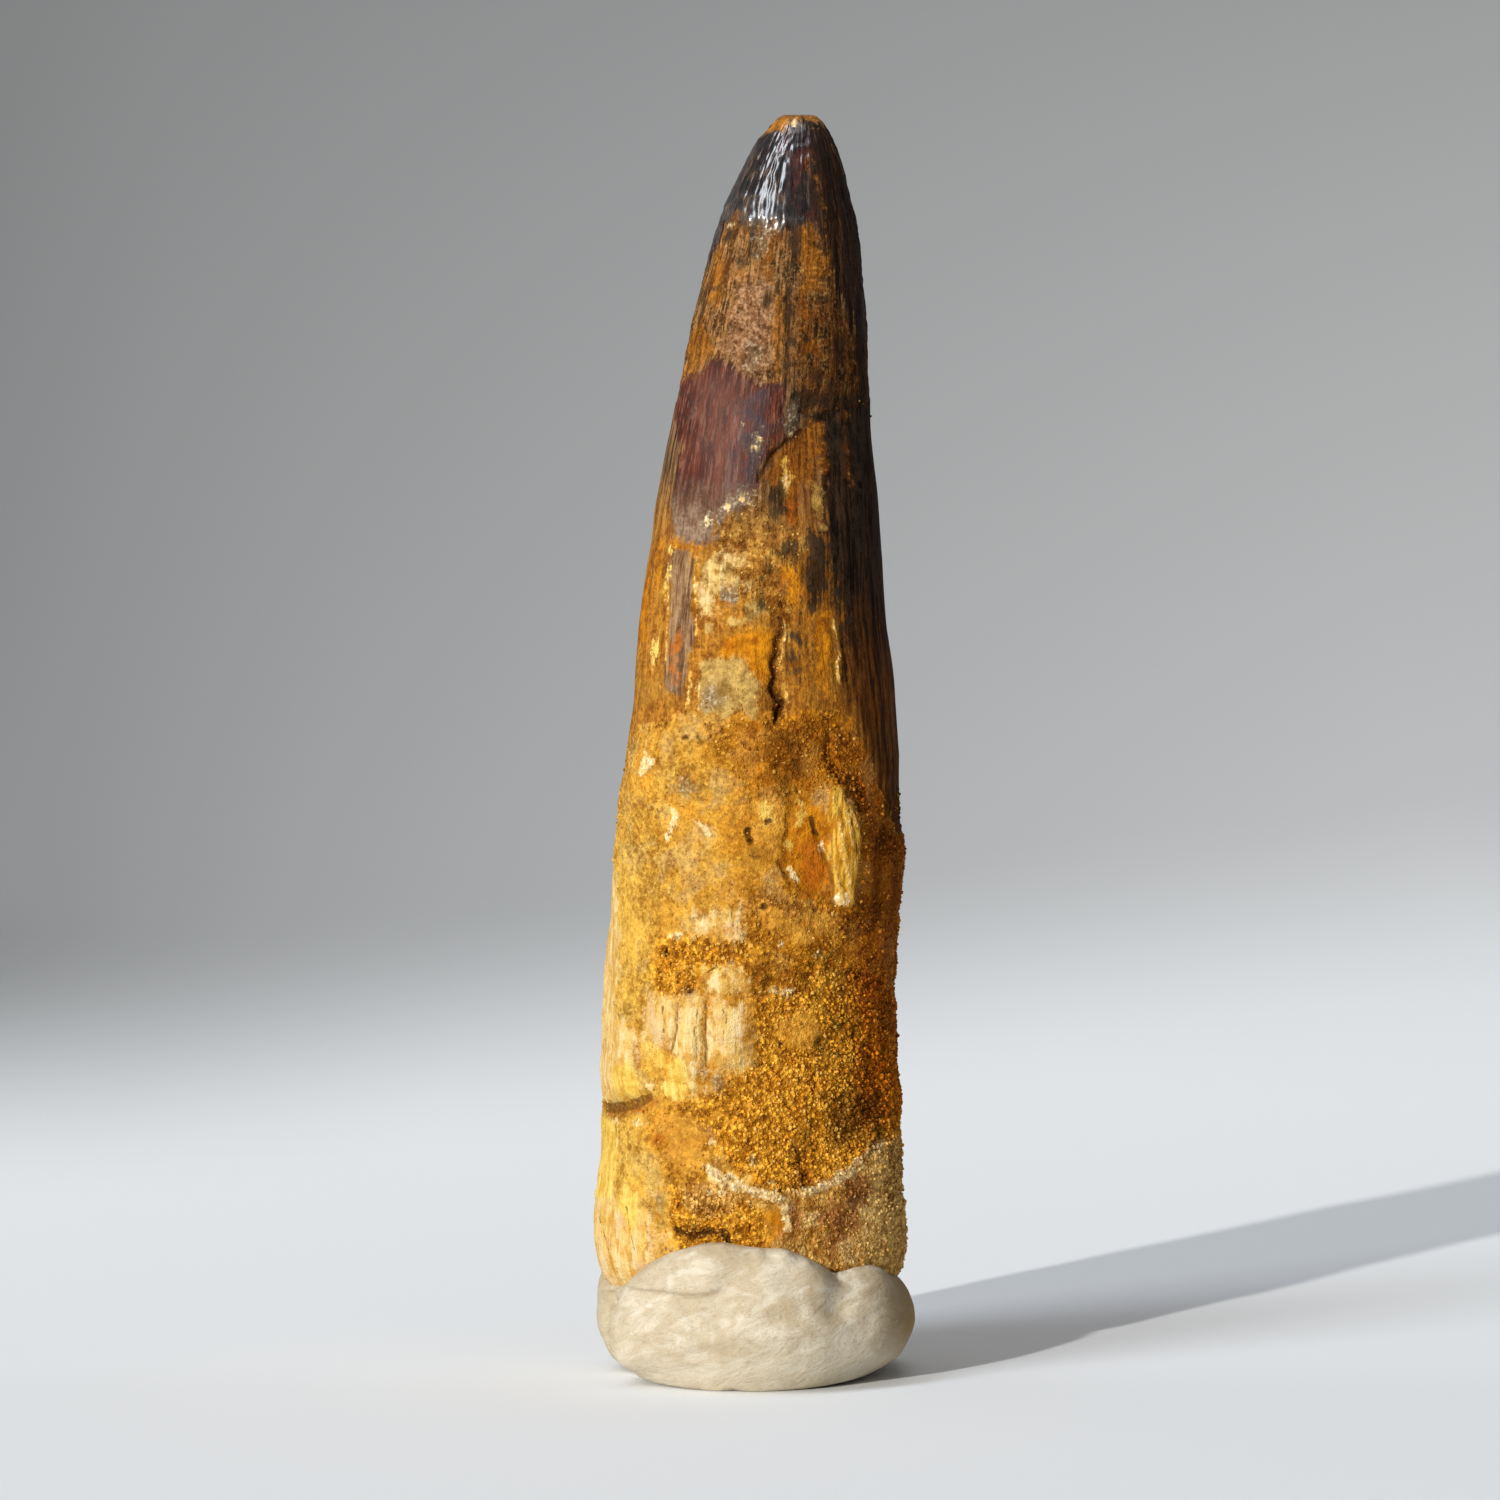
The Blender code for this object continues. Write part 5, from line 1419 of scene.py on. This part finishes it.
    def crust(self):
        """Ochre crust, warmer on the right and paler low on the left, with grit, sand, and dark brown that
        is partly painted shade.
        """
        warm = self.zone(self.across, WARM_CRUST)
        cool = 1 - warm * 0.7
        pale = self.mix(warm, (0.66, 0.350, 0.045), (0.52, 0.195, 0.008))
        deep = self.mix(warm, (0.48, 0.215, 0.022), (0.32, 0.100, 0.003))
        self.coat(self.crusted, self.layered(
            self.mix(self.light * 0.8 + 0.1, deep, pale),
            (self.ramp(self.blotch, 0.52, 0.68) * cool * 0.6, (0.70, 0.42, 0.075)),
            (self.ramp(self.patch, 0.54, 0.66) * 0.35, (0.42, 0.170, 0.014)),
            (self.ramp(self.patch, 0.44, 0.34) * cool * 0.4, (0.62, 0.42, 0.150)),
            (self.ramp(self.cloud, 0.50, 0.62) * 0.50, (0.50, 0.335, 0.130)),
            (self.ramp(self.cloud, 0.46, 0.36) * 0.45, (0.60, 0.235, 0.014)),
            (self.drop * 0.5, (0.30, 0.100, 0.006)),
            (self.fleck * 0.35, (0.78, 0.46, 0.070)),
        ))
        self.coat(self.crusted * self.left * 0.4, (0.80, 0.53, 0.100))
        self.coat(self.covered("grit", 0.6) * self.crusted * 0.6, self.layered(
            self.mix(self.light, (0.44, 0.150, 0.006), (0.70, 0.300, 0.016)),
            (self.drop * 0.5, (0.20, 0.062, 0.004)),
            (self.fleck * 0.35, (0.86, 0.50, 0.070)),
        ))
        self.coat(self.sandy, self.mix(self.light, (0.72, 0.300, 0.018), (0.96, 0.490, 0.046)))
        self.coat(self.covered("furrow", 0.25, 0.6), (0.56, 0.210, 0.014))
        packed = self.mix(self.light, (0.46, 0.190, 0.020), (0.62, 0.300, 0.040))
        self.coat(self.covered("packed", 0.5, 1.2) * 0.8, packed)
        # dark brown, partly the crust's own dark earth and partly painted shade
        umber_and_shade = self.mix(self.light, (0.070, 0.023, 0.003), (0.18, 0.068, 0.008))
        self.coat(self.covered("umber_and_shade", 0.6, 1.2) * 0.75, umber_and_shade)

    def bone(self):
        """Bone that shows through the crust, and the pale rim."""
        self.coat(self.covered("orange_bone", 0.35, 0.9, 0.7) * 0.9, self.layered(
            self.mix(self.light, (0.36, 0.105, 0.002), (0.58, 0.215, 0.006)),
            (self.ramp(self.streak, 0.52, 0.64) * 0.5, (0.18, 0.055, 0.006)),
        ))
        self.coat(self.covered("rust", 0.35, 0.8) * 0.8, (0.42, 0.110, 0.006))
        olive = self.mix(self.light, (0.26, 0.145, 0.035), (0.52, 0.335, 0.095))
        self.coat(self.covered("olive_bone", 0.25, 0.8) * 0.9, olive)
        pale_share = self.covered("pale_bone", 0.80, 1.6, 0.6)
        self.coat(pale_share, self.layered(
            self.mix(self.light, (0.62, 0.36, 0.090), (0.70, 0.49, 0.18)),
            (self.ramp(self.streak, 0.50, 0.62) * 0.6, (0.80, 0.64, 0.36)),
            (self.ramp(self.mottle, 0.46, 0.36) * 0.7, (0.56, 0.28, 0.035)),
            (self.ramp(self.patch, 0.54, 0.64) * 0.5, (0.62, 0.42, 0.24)),
            (self.ramp(self.streak, 0.42, 0.34) * 0.5, (0.48, 0.22, 0.030)),
        ))
        yellow_share = self.covered("yellow_bone", 0.20, 0.8, 0.6)
        self.coat(yellow_share, self.layered(
            self.mix(self.light, (0.60, 0.34, 0.045), (0.76, 0.52, 0.110)),
            (self.ramp(self.streak, 0.52, 0.62) * 0.6, (0.84, 0.62, 0.20)),
            (self.right * 0.6, (0.58, 0.29, 0.030)),
            (self.ramp(self.streak, 0.44, 0.36) * 0.5, (0.42, 0.19, 0.018)),
        ))
        flake_share = self.covered("flake", 0.06, 0.15, 0.3)
        flake = self.mix(self.ramp(self.hair, 0.44, 0.60), (0.42, 0.175, 0.010), (0.66, 0.39, 0.055))
        self.coat(flake_share, flake)
        self.bony = pale_share.at_least(yellow_share).at_least(flake_share)
        self.coat(self.covered("pale_rim", 0.25), self.layered(
            self.mix(self.light, (0.50, 0.225, 0.032), (0.86, 0.49, 0.115)),
            (self.ramp(self.patch, 0.53, 0.63) * 0.6, (0.88, 0.62, 0.26)),
            (self.ramp(self.patch, 0.45, 0.36) * 0.6, (0.36, 0.120, 0.016)),
            (self.drop * 0.7, (0.24, 0.080, 0.010)),
            # paler flecks, and paler towards the right edge: partly the rim's own paler colour, partly
            # painted light from behind
            ((self.fleck * 0.5).at_least(self.edge * 0.6), (0.94, 0.62, 0.21)),
        ))

    def stains(self):
        """Red and dark stains, pale crumbs and threads, grooves and cracks darkened partly as painted
        shade, and dark spots of painted shade in pits.
        """
        self.coat(self.covered("red_stain", 0.45, 2.2) * 0.8, self.layered(
            self.mix(self.light, (0.12, 0.024, 0.006), (0.44, 0.150, 0.040)),
            (self.fleck * 0.55, (0.80, 0.42, 0.150)),
        ))
        charcoal = self.mix(self.light, (0.012, 0.008, 0.005), (0.034, 0.022, 0.013))
        self.coat(self.covered("charcoal", 0.35, 1.0, 0.8) * 0.9, charcoal)
        ash = self.mix(self.fleck, (0.18, 0.12, 0.065), (0.50, 0.41, 0.28))
        self.coat(self.covered("ash", 0.35) * 0.65, ash)
        cream = self.mix(self.fleck, (0.74, 0.51, 0.21), (0.90, 0.76, 0.50))
        self.coat(self.covered("cream", 0.10, 0.35, 0.2) * 0.95, cream)
        thread = self.mix(self.fleck, (0.62, 0.34, 0.060), (0.84, 0.64, 0.28))
        self.coat(self.covered("thread", 0.06, 0.15, 0.1), thread)
        # grooves, darkened partly as painted shade
        self.coat(self.covered("groove_and_shade", 0.06, 0.12, 0.0) * 0.85, (0.19, 0.075, 0.010))
        # cracks, darkened partly as painted shade
        self.coat(self.covered("crack_and_shade", 0.12, 0.36, 0.0) * 0.92, (0.070, 0.022, 0.004))
        # painted shade: dark spots that stand for shaded pits in the crust
        pits = self.ramp(self.cells(0.85), 0.17, 0.09) * self.ramp(self.patch, 0.48, 0.58)
        self.coat(pits * self.covered("crust", 0.35) * (1 - self.bony) * 0.75, (0.14, 0.045, 0.005))

    def grains(self):
        """Painted light and shade on hollows, granules and the shaded side, and a tone of its own for each
        grain of sand.
        """
        smooth = self.black_share.at_least(self.oxblood_share).at_least(self.bony * 0.8)
        depth = (0.35 + self.granular * 0.5) * (1 - smooth)
        # painted light and shade that follow the crumbly relief: darker in its hollows, lighter on its
        # tops
        crumb_light_and_shade = 1 + (self.ramp(self.crumb, 0.34, 0.66) - 0.5) * depth
        # painted light and shade of the granules: darker in the gaps between them, lighter on their tops
        granule_light_and_shade = (self.stored("tops") * 0.7 + self.pebble * 0.6 + 0.05).at_least(0.30) * self.granular
        shade = (granule_light_and_shade + (1 - self.granular)) * crumb_light_and_shade
        self.tint(1.0, shade)
        # painted shade made warmer where it is darkest
        self.tint(self.ramp(shade, 0.95, 0.40), (1.0, 0.76, 0.44))
        # painted shade on the shell between the loose grains
        self.coat(self.ramp(self.grain, 0.0, -1.0) * self.granular * 0.30, (0.15, 0.050, 0.004))
        loose = self.ramp(self.grain, -1.0, 0.0)
        self.coat(self.ramp(self.grain, 0.35, 0.0) * loose * 0.6, (0.26, 0.085, 0.006))
        self.coat(self.ramp(self.grain, 0.72, 1.0) * 0.7, (0.84, 0.50, 0.11))
        # painted shade down the side away from the sun, on the crust higher up
        self.tint(self.shaded * self.crusted * self.zone(self.height, SHADED_CRUST), (0.72, 0.52, 0.36))
        # painted shade over the areas listed for it
        self.tint(self.covered("painted_shade", 0.9, 1.5), (0.80, 0.70, 0.56))
        # painted shade on the sand at the right edge
        self.tint(self.edge * self.sandy * self.zone(self.height, SHADED_SAND), (0.80, 0.53, 0.28))

    def surface(self):
        """Gloss on the enamel, least where it is worn, and the finest relief."""
        enamel = self.oxblood_share * 0.6 + self.black_share
        rough = 1 - enamel * 0.6
        relief = (self.hair - 0.5) * (0.04 + enamel * 0.06) + self.speckle * (0.05 + enamel * 0.04)
        relief += self.mottle * 0.12 + self.crumb * 0.20 * rough + self.wrinkle * enamel * 0.10
        relief += self.dust * (0.06 + self.granular * 0.09) * (1 - enamel * 0.7)
        relief += self.pebble * self.granular * 0.15
        polished = self.black_share * self.ramp(self.stored("black_enamel") + self.ragged * 0.4, 0.0, 0.7)
        self.feed(
            Base_Color=self.colour,
            Roughness=0.90 - enamel * 0.30,
            Coat_Weight=(polished + self.oxblood_share * 0.004) * (1 - self.far_right),
            Normal=self.bump(relief, 1.0),
        )


def putty_finish():
    """Off-white putty, kneaded so that darker streaks swirl through it, with painted shade on its right
    side and its back left lobe.
    """
    f = Finish("putty", Roughness=0.70, Specular_IOR_Level=0.15)
    across, _, height = f.parts(f.place)
    turn = f.node("VectorRotate", {"rotation_type": "Y_AXIS"}, {"Vector": f.place, "Angle": 0.35})
    turned = Value(f, turn.outputs[0])
    wide = f.noise(5.0, 3, distortion=1.8)
    swirl = f.noise(3.2, 4, stretch=0.42, distortion=1.3, on=turned)
    thread = f.noise(1.5, 4, stretch=0.42, roughness=0.6, distortion=1.7, on=turned)
    speckle = f.noise(0.25, 2)
    vein = f.ramp(f.maths("ABSOLUTE", thread - 0.5), 0.036, 0.006) * f.ramp(swirl, 0.36, 0.52)
    colour = f.layered(
        f.mix(f.ramp(wide, 0.36, 0.64), (0.46, 0.375, 0.250), (0.57, 0.500, 0.375)),
        (f.ramp(swirl, 0.52, 0.68) * 0.35, (0.42, 0.320, 0.195)),
        (f.ramp(swirl, 0.48, 0.34) * 0.35, (0.70, 0.645, 0.530)),
        (f.ramp(thread, 0.54, 0.68) * 0.35, (0.42, 0.32, 0.195)),
        (vein * 0.50, (0.37, 0.265, 0.145)),
        # painted shade on the putty's right side
        (f.zone(across, PUTTY_RIGHT) * 0.94, (0.27, 0.170, 0.060)),
        (f.zone(height, PUTTY_FOOT) * 0.5, (0.66, 0.585, 0.440)),
        # painted shade on the back left lobe
        (f.zone(across, PUTTY_LEFT) * 0.45, (0.42, 0.33, 0.19)),
        (f.ramp(speckle, 0.60, 0.75) * 0.35, (0.28, 0.18, 0.10)),
    )
    relief = swirl * 0.14 + thread * 0.07 + f.noise(0.5, 3) * 0.05
    f.feed(Base_Color=colour, Normal=f.bump(relief, 1.0))
    return f.material


# Stage


def towards(azimuth, elevation):
    """The direction to a light, from degrees left of the camera's axis and above the floor."""
    turn, rise = math.radians(azimuth), math.radians(elevation)
    return Vector((-math.sin(turn) * math.cos(rise), -math.cos(turn) * math.cos(rise), math.sin(rise)))


def sweep_form(points):
    """A flat sheet one metre long drawn out and bent up into a floor and a wall, and its slope."""
    floor = BEND_FROM - SWEEP_FRONT
    length = (points[:, 1] + 0.5) * (floor + BEND_RADIUS * math.pi / 2 + WALL)
    flat = np.minimum(length, floor)
    slope = np.clip((length - flat) / BEND_RADIUS, 0, math.pi / 2)
    up = np.maximum(length - flat - BEND_RADIUS * math.pi / 2, 0)
    return np.column_stack((
        points[:, 0] * SWEEP_WIDTH,
        SWEEP_FRONT + flat + BEND_RADIUS * np.sin(slope),
        BEND_RADIUS * (1 - np.cos(slope)) + up,
    )), slope


def sweep_tones(points, slope):
    """How bright the sweep's own colour is, so that under the lights it has the photograph's tones."""
    # moved by a micron, so that no vertex lies level with the camera
    across, down = photo_pixel(points + (0, MM / 1000, 0))
    across, down = np.clip(across / PHOTO_SIZE, 0, 1), np.clip(down, 0, PHOTO_SIZE)
    down = np.where(points[:, 1] < 0, PHOTO_SIZE, down)
    curved = across ** SHADE_CURVE
    top, foot = (left + (right - left) * curved for left, right in (SHADE_TOP, SHADE_FOOT))
    shade = top + (foot - top) * down / SHADE_LINE[0]
    line = SHADE_LINE[0] + (SHADE_LINE[1] - SHADE_LINE[0]) * across
    lit = smooth_step(line - SHADE_SOFTNESS, line + SHADE_SOFTNESS, down)
    sun = towards(SUN_AZIMUTH, SUN_ELEVATION)
    sunlight = SUN_STRENGTH / math.pi * np.maximum(sun.z * np.cos(slope) - sun.y * np.sin(slope), 0)
    floor = np.interp(down, list(FLOOR_TONES), list(FLOOR_TONES.values()))
    return (shade + (floor - shade) * lit) / (sunlight + LIGHT_IN_SHADE)


def make_stage():
    """A pale floor that sweeps up into a grey backdrop, with a soft shade painted onto it."""
    bpy.ops.object.select_all(action="DESELECT")
    bpy.ops.mesh.primitive_grid_add(x_subdivisions=120, y_subdivisions=240, size=1.0)
    sweep = bpy.context.object
    sweep.name = "sweep"
    points, slope = sweep_form(coordinates(sweep) * MM)
    move_to(sweep, points / MM)
    bpy.ops.object.shade_smooth()
    give_values(sweep.data, "tone", sweep_tones(points, slope))
    f = Finish("sweep", Roughness=0.9, Specular_IOR_Level=0.1)
    f.feed(Base_Color=f.mix(1.0, SWEEP_TINT, f.stored("tone"), "MULTIPLY"))
    sweep.data.materials.append(f.material)


def add_light(name, kind, energy, **settings):
    """A light in the scene, with those settings of its data."""
    light = bpy.data.objects.new(name, bpy.data.lights.new(name, kind))
    light.data.energy = energy
    for setting, value in settings.items():
        setattr(light.data, setting, value)
    bpy.context.scene.collection.objects.link(light)
    return light


def make_lights():
    """A low sun, a window that gives the gloss, a ceiling light and the room's own weak light."""
    sun = add_light("sun", "SUN", SUN_STRENGTH, angle=math.radians(SUN_SPREAD), color=SUN_COLOUR)
    sun.rotation_euler = towards(SUN_AZIMUTH, SUN_ELEVATION).to_track_quat("Z", "Y").to_euler()
    window = add_light(
        "window", "AREA", WINDOW_POWER,
        shape="RECTANGLE", size=WINDOW_SIZE[0], size_y=WINDOW_SIZE[1], color=WINDOW_COLOUR,
    )
    direction = towards(WINDOW_AZIMUTH, WINDOW_ELEVATION)
    window.location = direction * WINDOW_DISTANCE
    window.rotation_euler = direction.to_track_quat("Z", "Y").to_euler()
    ceiling = add_light("ceiling", "AREA", CEILING_POWER, size=CEILING_SIZE)
    ceiling.location = (0.0, 0.0, CEILING_HEIGHT)
    world = bpy.data.worlds.new("room")
    world.use_nodes = True
    background = world.node_tree.nodes["Background"].inputs
    background["Color"].default_value = ROOM_COLOUR
    background["Strength"].default_value = ROOM_LIGHT
    bpy.context.scene.world = world


def make_camera():
    """The photograph's camera, whose lens follows from its field of view."""
    camera = bpy.data.objects.new("camera", bpy.data.cameras.new("camera"))
    camera.data.sensor_width = SENSOR_WIDTH
    camera.data.lens = SENSOR_WIDTH / 2 / math.tan(math.radians(FIELD_OF_VIEW / 2))
    camera.data.clip_start = CLIP_START
    camera.location = CAMERA_AT
    camera.rotation_euler = (math.radians(90 - CAMERA_PITCH), 0.0, 0.0)
    bpy.context.scene.collection.objects.link(camera)
    bpy.context.scene.camera = camera
    bpy.context.scene.view_settings.view_transform = "Standard"


def place(piece, slot, *nodes):
    """The piece rides with the specimen, and stands for the CAD nodes that it covers."""
    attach(piece, "root")
    if nodes:
        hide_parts(*nodes)


def main():
    """Dresses the two CAD nodes, and sets up the stage, the lights and the camera."""
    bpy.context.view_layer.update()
    make_camera()
    make_lights()
    make_stage()
    fossil = Fossil().material
    guide = smoothed_copy("tooth", "tooth_guide", 2)
    fit_outline(guide, OUTLINE)
    skin = Skin(guide)
    marks = Marks(skin)
    shells = {
        "crown": Shell("crown", skin, marks, CROWN_HEIGHTS, fossil),
        "root": Shell("root", skin, marks, ROOT_HEIGHTS, fossil),
    }
    sands = [
        scattered(name, shells[ground], kind, radii, per_mm2, seed, fossil)
        for seed, (name, ground, kind, radii, per_mm2) in enumerate(GRAINS)
    ]
    putty = make_putty(skin, putty_finish())
    bpy.data.objects.remove(guide)
    place(shells["crown"].piece, "fossil", "tooth")
    place(shells["root"].piece, "fossil")
    for sand in sands:
        place(sand, "fossil")
    place(putty, "putty", "putty_base")


main()
